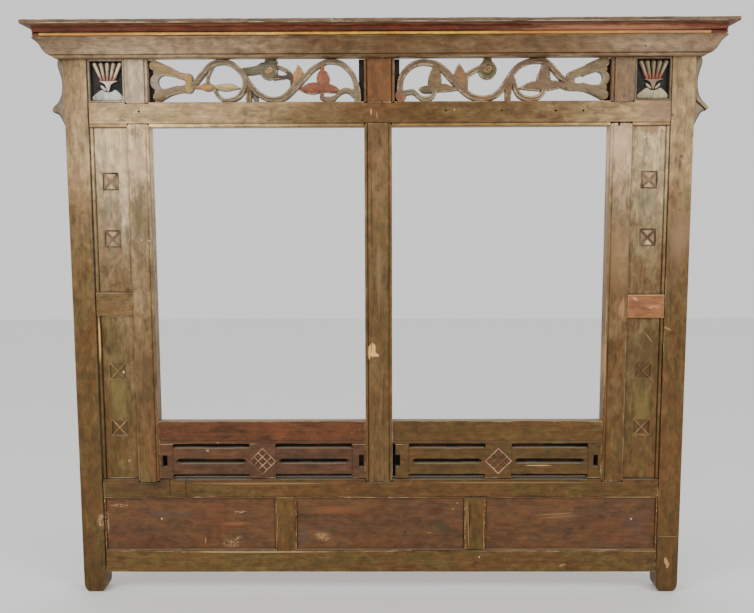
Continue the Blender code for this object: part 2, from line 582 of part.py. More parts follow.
def build_fret(side):
    """Fret board: slots at its edges and middle, and a lattice diamond at its centre.

    The right board's face stops short of the mullion, where it has shrunk back.
    """
    if side == "left":
        bay = face = fitted(Bay(-JAMB_INNER, MULLION_LEFT, MID_RAIL_TOP, FRET_TOP))
    else:
        bay = fitted(Bay(MULLION_RIGHT, JAMB_INNER, MID_RAIL_TOP, FRET_TOP))
        face = bay._replace(left=bay.left + SHRUNK_EDGE)
    finish = RED_BROWN if side == "left" else OLIVE
    back = FRET_SETBACK + FRET_THICKNESS
    board = plate(f"fret_panel_{side}", rectangle(bay, 0.0), FRET_SETBACK, back, finish)
    cuts = [(outline, SLOT_DEPTH) for outline in fret_slots(face)]
    if face.left > bay.left:
        edge = Bay(bay.left - REACH_IN, face.left, bay.bottom - REACH_IN, bay.top + REACH_IN)
        cuts.append((rectangle(edge, 0.0), SLOT_DEPTH))
    centre_x, centre_z = (face.left + face.right) / 2, (face.bottom + face.top) / 2
    cuts += [(outline, DIAMOND_CUT) for outline in diamond_cells(centre_x, centre_z)]
    points, faces = [], []
    for outline, depth in cuts:
        start, count = len(points), len(outline)
        for level in (FRET_SETBACK - REACH_IN, FRET_SETBACK + depth):
            points += [(x, FRONT + level, z) for x, z in outline]
        faces += [[start + i for i in range(count)], [start + count + i for i in reversed(range(count))]]
        for corner in range(count):
            after = (corner + 1) % count
            faces.append([start + corner, start + after, start + count + after, start + count + corner])
    combine(board, solid_from(f"fret_cuts_{side}", points, faces), "DIFFERENCE")


def build_bottom_panels():
    """Three bead-framed panels between the bottom rail and the mid rail."""
    inner = BOTTOM_STILE_PLACE - BOTTOM_STILE_WIDTH / 2
    outer = BOTTOM_STILE_PLACE + BOTTOM_STILE_WIDTH / 2
    for name, left, right in (("left", -POST_INNER, -outer), ("middle", -inner, inner),
                              ("right", outer, POST_INNER)):
        bay = fitted(Bay(left, right, BOTTOM_RAIL_TOP, MID_RAIL_BOTTOM))
        back = BOTTOM_FIELD_DEPTH + PANEL_THICKNESS
        framed_board(f"bottom_panel_{name}", bay, back, BEAD_SETBACK, BOTTOM_FIELD_DEPTH, RED_BROWN)


def smooth_path(points, steps=None):
    """Points read along a Catmull-Rom curve: a set number to a span, or spaced for a stroke."""
    knots = np.array(points, dtype=float)
    if len(knots) == 1:
        return knots
    padded = np.vstack([2 * knots[0] - knots[1], knots, 2 * knots[-1] - knots[-2]])
    path = [knots[:1]]
    for index in range(len(knots) - 1):
        before, start, end, after = padded[index:index + 4]
        count = steps or max(2, int(np.hypot(*(end - start)[:2]) / STROKE_SPACING) + 1)
        t = np.linspace(0, 1, count + 1)[1:, None]
        path.append(0.5 * (2 * start + (end - before) * t + (2 * before - 5 * start + 4 * end - after) * t ** 2
                           + (3 * start - before - 3 * end + after) * t ** 3))
    return np.vstack(path)


def stroke_field(strokes, grid_x, grid_z):
    """Signed distance, negative inside, to a set of strokes in metres."""
    field = np.full(grid_x.shape, np.inf)
    for stroke in strokes:
        for x, z, radius in smooth_path(stroke):
            field = np.minimum(field, np.hypot(grid_x - x, grid_z - z) - radius)
    return field


def scaled_strokes(strokes, bay, grid):
    """Strokes moved from a drawing grid into a bay."""
    along, up = (bay.right - bay.left) / grid[0], (bay.top - bay.bottom) / grid[1]
    return [[(bay.left + x * along, bay.bottom + z * up, radius * up) for x, z, radius in stroke]
            for stroke in strokes]


def contour_loops(field, xs, zs):
    """Closed loops along which a field on a grid is zero."""
    links, places = {}, {}

    def crossing(a, b):
        key = (min(a, b), max(a, b))
        if key not in places:
            share = field[key[0]] / (field[key[0]] - field[key[1]])
            share = min(max(share, 0.02), 0.98)
            (i, j), (k, m) = key
            places[key] = (xs[i] + share * (xs[k] - xs[i]), zs[j] + share * (zs[m] - zs[j]))
        return key

    for i in range(len(xs) - 1):
        for j in range(len(zs) - 1):
            corners = [(i, j), (i + 1, j), (i + 1, j + 1), (i, j + 1)]
            inside = [field[corner] < 0 for corner in corners]
            if all(inside) or not any(inside):
                continue
            leaving = [n for n in range(4) if inside[n] and not inside[(n + 1) % 4]]
            entering = [n for n in range(4) if not inside[n] and inside[(n + 1) % 4]]
            if len(leaving) == 2 and np.mean([field[corner] for corner in corners]) >= 0:
                entering = [(n - 1) % 4 for n in leaving]
            elif len(leaving) == 2:
                entering = [(n + 1) % 4 for n in leaving]
            for out, back in zip(leaving, entering):
                start = crossing(corners[out], corners[(out + 1) % 4])
                links[start] = crossing(corners[back], corners[(back + 1) % 4])
    loops = []
    while links:
        first = next(iter(links))
        loop, here = [], first
        while here in links:
            loop.append(places[here])
            here = links.pop(here)
        loops.append(loop)
    return loops


def loop_area(loop):
    """Signed area of a closed loop of (x, z) points."""
    return 0.5 * sum(a[0] * b[1] - b[0] * a[1] for a, b in zip(loop, loop[1:] + loop[:1]))


def thin_run(points, tolerance):
    """Fewest of a run's points that keep it within the tolerance."""
    if len(points) < 3:
        return points
    (ax, az), (bx, bz) = points[0], points[-1]
    length = math.hypot(bx - ax, bz - az) or 1e-12
    gaps = [abs((bx - ax) * (z - az) - (bz - az) * (x - ax)) / length for x, z in points[1:-1]]
    worst = max(range(len(gaps)), key=gaps.__getitem__)
    if gaps[worst] <= tolerance:
        return [points[0], points[-1]]
    split = worst + 1
    return thin_run(points[:split + 1], tolerance)[:-1] + thin_run(points[split:], tolerance)


def thin_loop(loop):
    """A closed loop with the points that its shape needs."""
    far = max(range(len(loop)), key=lambda n: math.dist(loop[0], loop[n]))
    first, second = loop[:far + 1], loop[far:] + loop[:1]
    return thin_run(first, CARVING_TOLERANCE)[:-1] + thin_run(second, CARVING_TOLERANCE)[:-1]


def carved_plate(name, strokes, hole, bay, near, far, finish=None):
    """Plate with the outline of a carving: its strokes fused, less a hole, within a bay."""
    xs = np.arange(bay.left - CARVING_CELL, bay.right + 2 * CARVING_CELL, CARVING_CELL)
    zs = np.arange(bay.bottom - CARVING_CELL, bay.top + 2 * CARVING_CELL, CARVING_CELL)
    grid_x, grid_z = np.meshgrid(xs, zs, indexing="ij")
    field = stroke_field(strokes, grid_x, grid_z)
    if hole:
        field = np.maximum(field, -stroke_field([hole], grid_x, grid_z))
    edge_x = np.abs(grid_x - (bay.left + bay.right) / 2) - (bay.right - bay.left) / 2
    edge_z = np.abs(grid_z - (bay.bottom + bay.top) / 2) - (bay.top - bay.bottom) / 2
    field = np.maximum(field, np.maximum(edge_x, edge_z))
    loops = contour_loops(field, xs, zs)
    outer = max(loops, key=lambda loop: abs(loop_area(loop)))
    winding = math.copysign(1.0, loop_area(outer))
    holes = [loop for loop in loops if loop_area(loop) * winding < -12 * CARVING_CELL ** 2]
    loops = [thin_loop(loop) for loop in [outer] + holes]
    flat = [point for loop in loops for point in loop]
    triangles = tessellate_polygon([[(x, z, 0.0) for x, z in loop] for loop in loops])
    count = len(flat)
    points = [(x, FRONT + depth, z) for depth in (near, far) for x, z in flat]
    faces = [list(triangle) for triangle in triangles]
    faces += [[corner + count for corner in reversed(triangle)] for triangle in triangles]
    start = 0
    for loop in loops:
        for corner in range(len(loop)):
            a, b = start + corner, start + (corner + 1) % len(loop)
            faces.append([a, b, b + count, a + count])
        start += len(loop)
    return solid_from(name, points, faces, finish)


def build_scroll(side):
    """Pierced frieze board of vines and flowers, with thin sunk tongues at its ends."""
    if side == "left":
        bay = fitted(Bay(-JAMB_INNER, -FRIEZE_MULLION_WIDTH / 2, UPPER_RAIL_TOP, FRIEZE_TOP))
        strokes, hole = list(LEFT_SCROLL.values()), LEFT_HOLE
    else:
        bay = fitted(Bay(FRIEZE_MULLION_WIDTH / 2, JAMB_INNER, UPPER_RAIL_TOP, FRIEZE_TOP))
        strokes, hole = list(RIGHT_SCROLL.values()), RIGHT_HOLE
    strokes = scaled_strokes(strokes, bay, SCROLL_GRID)
    hole = scaled_strokes([hole], bay, SCROLL_GRID)[0]
    near, far = SCROLL_SETBACK, SCROLL_SETBACK + SCROLL_THICKNESS
    board = carved_plate(f"frieze_scroll_{side}", strokes, hole, bay, near, far, CARVING)
    for end, left in (("left", bay.left), ("right", bay.right - TONGUE_LENGTH)):
        tongue = Bay(left, left + TONGUE_LENGTH, bay.bottom, bay.top)
        tool = plate(f"frieze_tongue_{side}_{end}", rectangle(tongue, 0.0), far - TONGUE_THICKNESS,
                     far + FIT_GAP)
        combine(board, tool, "UNION")


def build_shell_panel(side):
    """Bead-framed panel with a fan of ribs over a cup and a mound on its sunk ground."""
    bay = placed(side, FRIEZE_STILE_OUTER, POST_INNER, UPPER_RAIL_TOP, FRIEZE_TOP)
    board = framed_board(f"shell_panel_{side}", bay, SHELL_THICKNESS, SHELL_SETBACK, SHELL_GROUND_DEPTH,
                         SHELL_PAINT, SHELL_BEAD_WIDTH)
    border = SHELL_BEAD_WIDTH + QUIRK_WIDTH + FIT_GAP
    ground = Bay(bay.left + border, bay.right - border, bay.bottom + border, bay.top - border)
    spreads = [2 * index / (RIB_COUNT - 1) - 1 for index in range(RIB_COUNT)]
    strokes, bars = list(SHELL_STROKES.values()), []
    for spread in spreads:
        foot = (RIB_FOOT[0] + spread * RIB_FOOT_SPREAD, RIB_FOOT[1])
        tip = (RIB_TIP[0] + spread * RIB_TIP_SPREAD, RIB_TIP[1])
        strokes.append([(*foot, RIB_FOOT_RADIUS), (*tip, RIB_TIP_RADIUS)])
        narrow, wide = RIB_BAR_WIDTH[0] / 2, RIB_BAR_WIDTH[1] / 2
        bars.append([(foot[0] - narrow, foot[1], 0), (foot[0] + narrow, foot[1], 0), (tip[0] + wide, tip[1], 0),
                     (tip[0], tip[1] + wide, 0), (tip[0] - wide, tip[1], 0)])
    strokes = scaled_strokes(strokes, ground, SHELL_GRID)
    back = SHELL_GROUND_DEPTH + REACH_IN
    relief = carved_plate(f"shell_relief_{side}", strokes, None, ground, SHELL_GROUND_DEPTH - SHELL_RELIEF, back)
    combine(board, relief, "UNION")
    points, faces = [], []
    for bar in scaled_strokes(bars, ground, SHELL_GRID):
        start, count = len(points), len(bar)
        for depth in (SHELL_GROUND_DEPTH - RIB_RELIEF, back - FIT_GAP):
            points += [(x, FRONT + depth, z) for x, z, _ in bar]
        faces += [[start + i for i in range(count)], [start + count + i for i in reversed(range(count))]]
        for corner in range(count):
            after = (corner + 1) % count
            faces.append([start + corner, start + after, start + count + after, start + count + corner])
    combine(board, solid_from(f"shell_ribs_{side}", points, faces), "UNION")


def main():
    """Build every piece of the surround."""
    clear_scene()
    build_rails()
    build_stiles()
    build_bottom_panels()
    for side in ("left", "right"):
        build_post(side)
        build_ear(side)
        build_side_panels(side)
        build_fret(side)
        build_scroll(side)
        build_shell_panel(side)
    build_fascia()
    build_moulding()
    build_cap()


main()
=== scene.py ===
"""Looks of a painted timber window surround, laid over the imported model's frame.

Every member is a board: a face of depths over a grid, with worn arrises, sides and a back.
X runs to the right, Z up, and the decorated face points to -Y. Sizes are in metres.
"""

from __future__ import annotations

import logging
import math
from dataclasses import dataclass, field
from enum import Enum
from functools import cache
from typing import Callable, Sequence, Union

import bpy
import numpy as np
from mathutils import Matrix, Vector

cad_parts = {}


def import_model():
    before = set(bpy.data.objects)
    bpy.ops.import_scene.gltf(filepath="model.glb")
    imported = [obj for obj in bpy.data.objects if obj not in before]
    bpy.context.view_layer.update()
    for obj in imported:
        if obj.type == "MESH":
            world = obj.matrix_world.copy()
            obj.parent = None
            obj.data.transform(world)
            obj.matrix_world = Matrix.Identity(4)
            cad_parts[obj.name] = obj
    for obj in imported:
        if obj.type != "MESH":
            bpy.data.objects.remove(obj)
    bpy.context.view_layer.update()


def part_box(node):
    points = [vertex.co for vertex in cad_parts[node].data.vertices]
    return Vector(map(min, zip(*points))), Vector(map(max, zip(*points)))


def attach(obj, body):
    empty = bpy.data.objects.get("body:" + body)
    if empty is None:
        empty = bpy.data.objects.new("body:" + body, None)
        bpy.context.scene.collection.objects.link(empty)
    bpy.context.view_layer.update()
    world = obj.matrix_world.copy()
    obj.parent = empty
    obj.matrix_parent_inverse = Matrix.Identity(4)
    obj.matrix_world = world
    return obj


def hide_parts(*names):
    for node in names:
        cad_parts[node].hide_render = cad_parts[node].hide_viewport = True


LOG = logging.getLogger("surround")
Grid = np.ndarray
Colour = int
Triple = tuple[float, float, float]
Finish = bpy.types.Material
Number = Union[float, "Value"]
Surface = Callable[[Grid, Grid], Grid]
Stroke = Sequence[tuple[float, float, float]]


def rgb(code: Colour) -> Triple:
    """Linear colour of a shade that is named by its display values, as 0xRRGGBB."""
    shades = [(code >> shift & 255) / 255 for shift in (16, 8, 0)]
    return tuple(s / 12.92 if s <= 0.04045 else ((s + 0.055) / 1.055) ** 2.4 for s in shades)


def smooth(value: Grid, low: float, high: float) -> Grid:
    """Smooth rise from 0 to 1 as a value goes from low to high."""
    share = np.clip((value - low) / (high - low), 0.0, 1.0)
    return share * share * (3 - 2 * share)


def drift(x: Grid, z: Grid, cell: float, seed: float) -> Grid:
    """Smooth wandering between -1 and 1 over a plane.

    Args:
        x: Places across.
        z: Places up.
        cell: Distance over which it changes.
        seed: Number that sets one wandering apart from another.

    Returns:
        The wandering at each place.
    """
    u, v = x / cell, z / cell
    i, j = np.floor(u), np.floor(v)
    s, t = u - i, v - j
    s, t = s * s * (3 - 2 * s), t * t * (3 - 2 * t)

    def corner(a: Grid, b: Grid) -> Grid:
        """Value held by a corner of the cell."""
        raw = np.sin(a * 127.1 + b * 311.7 + seed * 74.7) * 43758.5453
        return 2 * (raw - np.floor(raw)) - 1

    low = corner(i, j) * (1 - s) + corner(i + 1, j) * s
    high = corner(i, j + 1) * (1 - s) + corner(i + 1, j + 1) * s
    return low * (1 - t) + high * t


def inset(low: Vector, high: Vector, x: Grid, z: Grid) -> Grid:
    """Distance to the nearest edge of a box's front."""
    return np.minimum(np.minimum(x - low.x, high.x - x), np.minimum(z - low.z, high.z - z))


class Grain(Enum):
    """Way that a board's grain runs."""

    ACROSS = "x"
    UPRIGHT = "z"


class Value:
    """A shader socket that takes part in Python arithmetic."""

    def __init__(self, graph: Graph, socket: bpy.types.NodeSocket) -> None:
        """Keep the graph and the socket."""
        self.graph = graph
        self.socket = socket

    def _math(self, operation: str, first: Number, second: Number = 0.0) -> Value:
        """Result of a Math node on two numbers."""
        return self.graph.node("ShaderNodeMath", {"operation": operation}, {0: first, 1: second})

    def __add__(self, other: Number) -> Value:
        """Sum."""
        return self._math("ADD", self, other)

    __radd__ = __add__

    def __sub__(self, other: Number) -> Value:
        """Difference."""
        return self._math("SUBTRACT", self, other)

    def __rsub__(self, other: Number) -> Value:
        """Difference from a number."""
        return self._math("SUBTRACT", other, self)

    def __mul__(self, other: Number) -> Value:
        """Product."""
        return self._math("MULTIPLY", self, other)

    __rmul__ = __mul__

    def __truediv__(self, other: Number) -> Value:
        """Quotient."""
        return self._math("DIVIDE", self, other)

    def __abs__(self) -> Value:
        """Size without sign."""
        return self._math("ABSOLUTE", self)

    def __pow__(self, power: float) -> Value:
        """Power."""
        return self._math("POWER", self, power)

    def most(self, other: Number) -> Value:
        """Greater of two numbers."""
        return self._math("MAXIMUM", self, other)

    def least(self, other: Number) -> Value:
        """Lesser of two numbers."""
        return self._math("MINIMUM", self, other)

    def rise(self, low: float, high: float) -> Value:
        """Smooth rise from 0 to 1 between two values."""
        settings = {"interpolation_type": "SMOOTHSTEP", "clamp": True}
        return self.graph.node("ShaderNodeMapRange", settings, {0: self, 1: low, 2: high, 3: 0.0, 4: 1.0})


class Graph:
    """A material's nodes, made one expression at a time."""

    def __init__(self, name: str) -> None:
        """Start a material with its shader.

        Args:
            name: Material name.
        """
        self.material = bpy.data.materials.new(name)
        self.material.use_nodes = True
        self.tree = self.material.node_tree
        self.shader = self.tree.nodes["Principled BSDF"]

    def node(self, kind: str, settings: dict[str, object] | None = None,
            inputs: dict[int | str, object] | None = None, output: int | str = 0) -> Value:
        """Add a node.

        Args:
            kind: Node type.
            settings: Properties, which are set first.
            inputs: Values or links by socket.
            output: Socket that is handed back.

        Returns:
            The output socket as a value.
        """
        made = self.tree.nodes.new(kind)
        for key, value in (settings or {}).items():
            if key == "stops":
                self._set_stops(made.color_ramp, value)
            else:
                setattr(made, key, value)
        for key, value in (inputs or {}).items():
            self.put(made.inputs[key], value)
        return Value(self, made.outputs[output])

    def put(self, socket: bpy.types.NodeSocket, value: object) -> None:
        """Link or set one input socket."""
        if isinstance(value, Value):
            self.tree.links.new(value.socket, socket)
        elif socket.type == "RGBA":
            socket.default_value = (*(rgb(value) if isinstance(value, int) else value), 1.0)
        else:
            socket.default_value = value

    @staticmethod
    def _set_stops(ramp: bpy.types.ColorRamp, stops: Sequence[tuple[float, float]]) -> None:
        """Give a ramp its (place, level) stops, joined smoothly."""
        ramp.interpolation = "EASE"
        while len(ramp.elements) < len(stops):
            ramp.elements.new(0.5)
        for element, (place, level) in zip(ramp.elements, stops):
            element.position = place
            element.color = (level, level, level, 1.0)

    def curve(self, value: Value, stops: Sequence[tuple[float, float]]) -> Value:
        """Level read from a smooth curve through (place, level) stops."""
        return self.node("ShaderNodeValToRGB", {"stops": stops}, {0: value})

    def mix(self, share: Number, first: object, second: object, mode: str = "MIX") -> Value:
        """Blend of two colours by a share from 0 to 1."""
        settings = {"data_type": "RGBA", "blend_type": mode, "clamp_factor": True}
        return self.node("ShaderNodeMix", settings, {0: share, 6: first, 7: second}, 2)

    def stretch(self, vector: Value, scale: Triple, shift: Triple = (0.0, 0.0, 0.0)) -> Value:
        """Vector scaled along its axes, then moved."""
        settings = {"operation": "MULTIPLY_ADD"}
        return self.node("ShaderNodeVectorMath", settings, {0: vector, 1: scale, 2: shift})

    def noise(self, vector: Value, scale: float, detail: float = 3.0, roughness: float = 0.55,
            distortion: float = 0.0) -> Value:
        """Cloudy noise from about 0 to 1."""
        inputs = {"Vector": vector, "Scale": scale, "Detail": detail, "Roughness": roughness,
            "Distortion": distortion}
        return self.node("ShaderNodeTexNoise", {"noise_dimensions": "3D"}, inputs, "Fac")

    def grained(self, along: float, across: float, detail: float, roughness: float, twist: float = 0.0,
            shift: Triple = (0.0, 0.0, 0.0)) -> Value:
        """Noise drawn out along the board's grain."""
        places = self.stretch(self.attribute("grain", "Vector"), (along, across, across), shift)
        return self.noise(places, 1.0, detail, roughness, twist)

    def attribute(self, name: str, output: str) -> Value:
        """Reading of a mesh attribute."""
        return self.node("ShaderNodeAttribute", {"attribute_name": name}, {}, output)

    def axes(self, vector: Value) -> tuple[Value, Value, Value]:
        """The three parts of a vector."""
        first = self.node("ShaderNodeSeparateXYZ", {}, {0: vector}, 0)
        made = first.socket.node
        return first, Value(self, made.outputs[1]), Value(self, made.outputs[2])


@dataclass(frozen=True)
class Mark:
    """A blemish of the surface: a nail hole, chip, crack, scratch or patch.

    It may be sunk in the timber, coloured, or both.
    """

    x: float
    z: float
    wide: float
    high: float
    colour: Colour
    sunk: float = 0.0
    turn: float = 0.0
    ragged: float = 0.9
    strength: float = 1.0
    ring: float = 0.0
    square: bool = False
    soft: float = 0.2
    flecked: bool = False

    def share(self, x: Grid, z: Grid) -> Grid:
        """How far each place lies inside the mark, 1 in its middle and 0 outside."""
        c, s = math.cos(math.radians(self.turn)), math.sin(math.radians(self.turn))
        u = ((x - self.x) * c + (z - self.z) * s) / self.wide
        v = ((z - self.z) * c - (x - self.x) * s) / self.high
        away = np.maximum(np.abs(u), np.abs(v)) if self.square else np.hypot(u, v)
        return 1 - smooth(away + 0.5 * self.ragged * drift(x, z, self.wide, 3.0), 0.75, 1.05)

    def mask(self, x: Value, z: Value, rough: Value, flecks: Value) -> Value:
        """The same place as a shader mask.

        Args:
            x: Place across.
            z: Place up.
            rough: Noise that makes the border ragged.
            flecks: Noise that breaks a mark into flecks.

        Returns:
            Mask from 0 to 1.
        """
        c, s = math.cos(math.radians(self.turn)), math.sin(math.radians(self.turn))
        u = abs(((x - self.x) * c + (z - self.z) * s) / self.wide)
        v = abs(((z - self.z) * c - (x - self.x) * s) / self.high)
        away = u.most(v) if self.square else (u * u + v * v) ** 0.5
        away = away + (rough - 0.5) * (3 * self.ragged)
        inside = 1 - away.rise(1.0 - self.soft, 1.08)
        if self.ring:
            inside = inside * away.rise(0.8 - self.ring, 0.98 - self.ring)
        if self.flecked:
            inside = inside * flecks.rise(0.47, 0.53)
        return inside * self.strength


def wash(x: float, z: float, wide: float, high: float, colour: Colour, strength: float,
        ragged: float = 0.9) -> Mark:
    """A soft, ragged patch of another shade."""
    return Mark(x, z, wide, high, colour, ragged=ragged, soft=0.9, strength=strength)


# Shape of the painted glare over height and width: the lamps' sheen pooled high up and towards the sides,
# with weathered paleness.
GLARE_FADE_HEIGHT, GLARE_FADE_WIDTH = 1.5, 1.6
GLARE_FADE_UP = ((0.0, 0.0), (0.26, 0.03), (0.43, 0.13), (0.56, 0.24), (0.66, 0.46), (0.78, 1.0), (0.86, 0.86),
    (0.95, 0.66), (1.0, 0.55))
GLARE_FADE_ACROSS = ((0.0, 0.5), (0.085, 1.0), (0.28, 0.74), (0.42, 0.22), (0.5, 0.08), (0.64, 0.12), (0.78, 0.28),
    (0.86, 0.52), (0.92, 0.74), (1.0, 0.55))


@dataclass(frozen=True)
class Paint:
    """Aged paint on timber: its shades, its wear and how it shines.

    It is paler high up and towards the sides, a painted glare of the lamps over weathered, dusty paint, and
    darkest at the feet.
    """

    name: str
    deep: Colour
    pale: Colour
    tint: Colour
    bare: Colour
    warm: Colour = 0x704420
    glare_and_bleach: float = 1.0
    streaks: float = 0.5
    wear: float = 0.0026
    losses: float = 0.0
    dust: float = 0.6
    shine: float = 0.47
    relief: float = 0.5
    zoned: bool = False

    def material(self, marks: Sequence[Mark] = (), suffix: str = "") -> Finish:
        """Make the material.

        Args:
            marks: Blemishes that are painted over it.
            suffix: Ending that tells one piece's own material from another's.

        Returns:
            The finished material.
        """
        graph = Graph(self.name + suffix)
        place = graph.node("ShaderNodeTexCoord", {}, {}, "Object")
        x, _, z = graph.axes(place)
        gap = graph.attribute("edge_gap", "Fac")
        grime = graph.attribute("grime", "Fac")
        clouds = graph.grained(2.2, 9.0, 4.0, 0.6, 0.4)
        blotch = graph.grained(11.0, 30.0, 4.0, 0.62, 0.8, shift=(5.0, 1.0, 2.0))
        streak = graph.grained(9.0, 190.0, 4.0, 0.65)
        mottle = graph.grained(34.0, 62.0, 5.0, 0.62, 0.5, shift=(6.0, 2.0, 9.0))
        fibre = graph.grained(42.0, 1100.0, 3.0, 0.7)
        speck = graph.grained(330.0, 420.0, 2.0, 0.5, shift=(1.0, 2.0, 3.0))
        stain = graph.grained(4.5, 16.0, 3.0, 0.6, 0.6, shift=(2.0, 8.0, 3.0))
        # Painted glare: paler high up and towards the sides, the lamps' sheen painted into the colour
        # together with weathered paleness.
        glare_and_fade = graph.curve(z / GLARE_FADE_HEIGHT, GLARE_FADE_UP) * graph.curve((x + GLARE_FADE_WIDTH / 2) / GLARE_FADE_WIDTH,
            GLARE_FADE_ACROSS) * self.glare_and_bleach
        glare_and_fade = glare_and_fade + ((clouds - 0.5) * 0.5 + (blotch - 0.5) * 0.6 + (mottle - 0.5) * 0.5) * (0.35 + glare_and_fade)
        colour = graph.mix(glare_and_fade.rise(-0.03, 0.97), self.deep, self.pale)
        colour = graph.mix(blotch.rise(0.44, 0.62) * 0.65, colour,
            graph.mix(glare_and_fade * 0.5, self.tint, self.pale))
        colour = graph.mix(stain.rise(0.5, 0.66) * 0.45, colour, graph.mix(glare_and_fade * 0.6, self.warm, self.pale))
        if self.zoned:
            share = graph.attribute("zone_share", "Fac") * (0.86 + clouds * 0.3)
            colour = graph.mix(share.least(1.0), colour, graph.attribute("zone", "Color"))
        # Darker towards the bottom, with streaks, fibres and mottling.
        bright = 0.71 + z.rise(-0.1, 0.3) * 0.2 + (streak - 0.5) * (1.5 * self.streaks) + (fibre - 0.5) * 0.9
        bright = bright + (clouds - 0.5) * 0.6 + (mottle - 0.5) * 1.5 - stain.rise(0.42, 0.3) * 0.15
        shade = graph.node("ShaderNodeCombineXYZ", {}, {0: bright, 1: bright, 2: bright})
        colour = graph.mix(1.0, colour, shade, "MULTIPLY")
        pits = (1 - speck.rise(0.24, 0.31)) * 0.55
        colour = graph.mix(pits, colour, 0x3A2A1B)
        flecks = speck.rise(0.72, 0.76) * 0.5
        colour = graph.mix(flecks, colour, self.bare)
        edge = (blotch - 0.36) * (3.0 * self.wear) + (streak - 0.5) * (2.2 * self.wear) - gap
        worn = edge.rise(-0.0002, 0.0006) * gap.rise(0.006, 0.004)
        if self.losses:
            scuff = graph.grained(16.0, 85.0, 6.0, 0.72, 1.2, shift=(9.0, 4.0, 7.0))
            worn = worn.most(scuff.rise(0.735 - 0.1 * self.losses, 0.765 - 0.1 * self.losses))
        colour = graph.mix(worn * 0.85, colour, self.bare)
        normal = graph.node("ShaderNodeNewGeometry", {}, {}, "Normal")
        _, _, up = graph.axes(normal)
        settled = up.rise(0.55, 0.95) * self.dust * (0.55 + clouds * 0.6)
        colour = graph.mix(settled, colour, 0x9E9278)
        # Darkening from the surface layer: dark joints and dirt, and painted shade in hollows, under rails
        # and under the cap.
        colour = graph.mix(grime * (0.6 + blotch * 0.6), colour, 0x261A0F)
        ragged = streak * 0.6 + mottle * 0.4
        crumbs = graph.grained(190.0, 260.0, 2.0, 0.6) if marks else speck
        for mark in marks:
            colour = graph.mix(mark.mask(x, z, ragged, crumbs), colour, mark.colour)
        graph.put(graph.shader.inputs["Base Color"], colour)
        rough = self.shine + (blotch - 0.5) * 0.25 + worn * 0.2 + settled * 0.25 + grime * 0.2
        graph.put(graph.shader.inputs["Roughness"], rough.most(0.25).least(0.95))
        graph.shader.inputs["Specular IOR Level"].default_value = 0.28
        bumps = fibre * 0.35 + streak * 0.55 + blotch * 0.5 - worn * 0.35 - pits * 0.6
        bump = graph.node("ShaderNodeBump", {},
            {"Strength": self.relief, "Distance": 0.0009, "Height": bumps})
        graph.put(graph.shader.inputs["Normal"], bump)
        return graph.material


BARE_TAN = 0xB08E64
BARE_CREAM = 0xDEB682
DARK_LINE = 0x2E1E12

OLIVE = Paint("olive_paint", 0x60421A, 0xC8A779, 0x5C4A1C, BARE_TAN)
MULLION_OLIVE = Paint("olive_paint_mullion", 0x6A4E28, 0xD8BA96, 0x68542C, BARE_TAN, 0x76502A, glare_and_bleach=1.2)
RAIL_OLIVE = Paint("olive_paint_rail", 0x684C22, 0xC8A779, 0x665424, BARE_TAN)
JAMB_OLIVE = Paint("olive_paint_jamb", 0x61421A, 0xEECDA0, 0x5E4A20, BARE_TAN)
FASCIA_GREY = Paint("grey_olive_paint", 0x624624, 0xC8AC88, 0x685230, BARE_TAN, glare_and_bleach=0.76, dust=0.3)
RED_BROWN = Paint("red_brown_paint", 0x683C1E, 0x704A2E, 0x54341A, BARE_TAN, 0x7C4020, glare_and_bleach=0.2,
    losses=0.75, streaks=0.6)
PANEL_RED = Paint("panel_red_paint", 0x664426, 0x785436, 0x543C26, 0x96704C, 0x704022, glare_and_bleach=0.2,
    losses=0.55, streaks=0.4, relief=0.6)
PINK_RAIL = Paint("pink_brown_paint", 0xA46C42, 0xB07A54, 0x82502E, BARE_CREAM, glare_and_bleach=0.3, losses=0.8)
COVE_RED = Paint("cove_red_paint", 0x723420, 0x864A32, 0x522618, 0xC48462, 0x823A20, glare_and_bleach=0.7, losses=1.0,
    streaks=0.9, dust=0.0, shine=0.4)
GOLD = Paint("gold_paint", 0xFFC84A, 0xF6CC8C, 0xF0A83A, 0x965830, 0xFAB646, glare_and_bleach=0.8, losses=0.25,
    dust=0.0, shine=0.34)
CAP_GREY = Paint("bare_grey_timber", 0x785C44, 0x96826A, 0x5C4432, 0xCEC4B2, 0x6E422C, glare_and_bleach=0.3,
    losses=0.75, streaks=0.9, dust=0.2, shine=0.7)
BACK_TIMBER = Paint("back_timber", 0x684C2E, 0x785E40, 0x543E24, BARE_TAN, glare_and_bleach=0.5, streaks=0.9, wear=0.0,
    dust=0.5, shine=0.75)
# Near-black ground painted into the slots as shade.
SHADE_BLACK_GROUND = Paint("painted_shade_ground", 0x1E1A16, 0x2C2620, 0x181614, 0x605446, glare_and_bleach=0.2, streaks=0.4,
    wear=0.0, dust=0.75, shine=0.7)


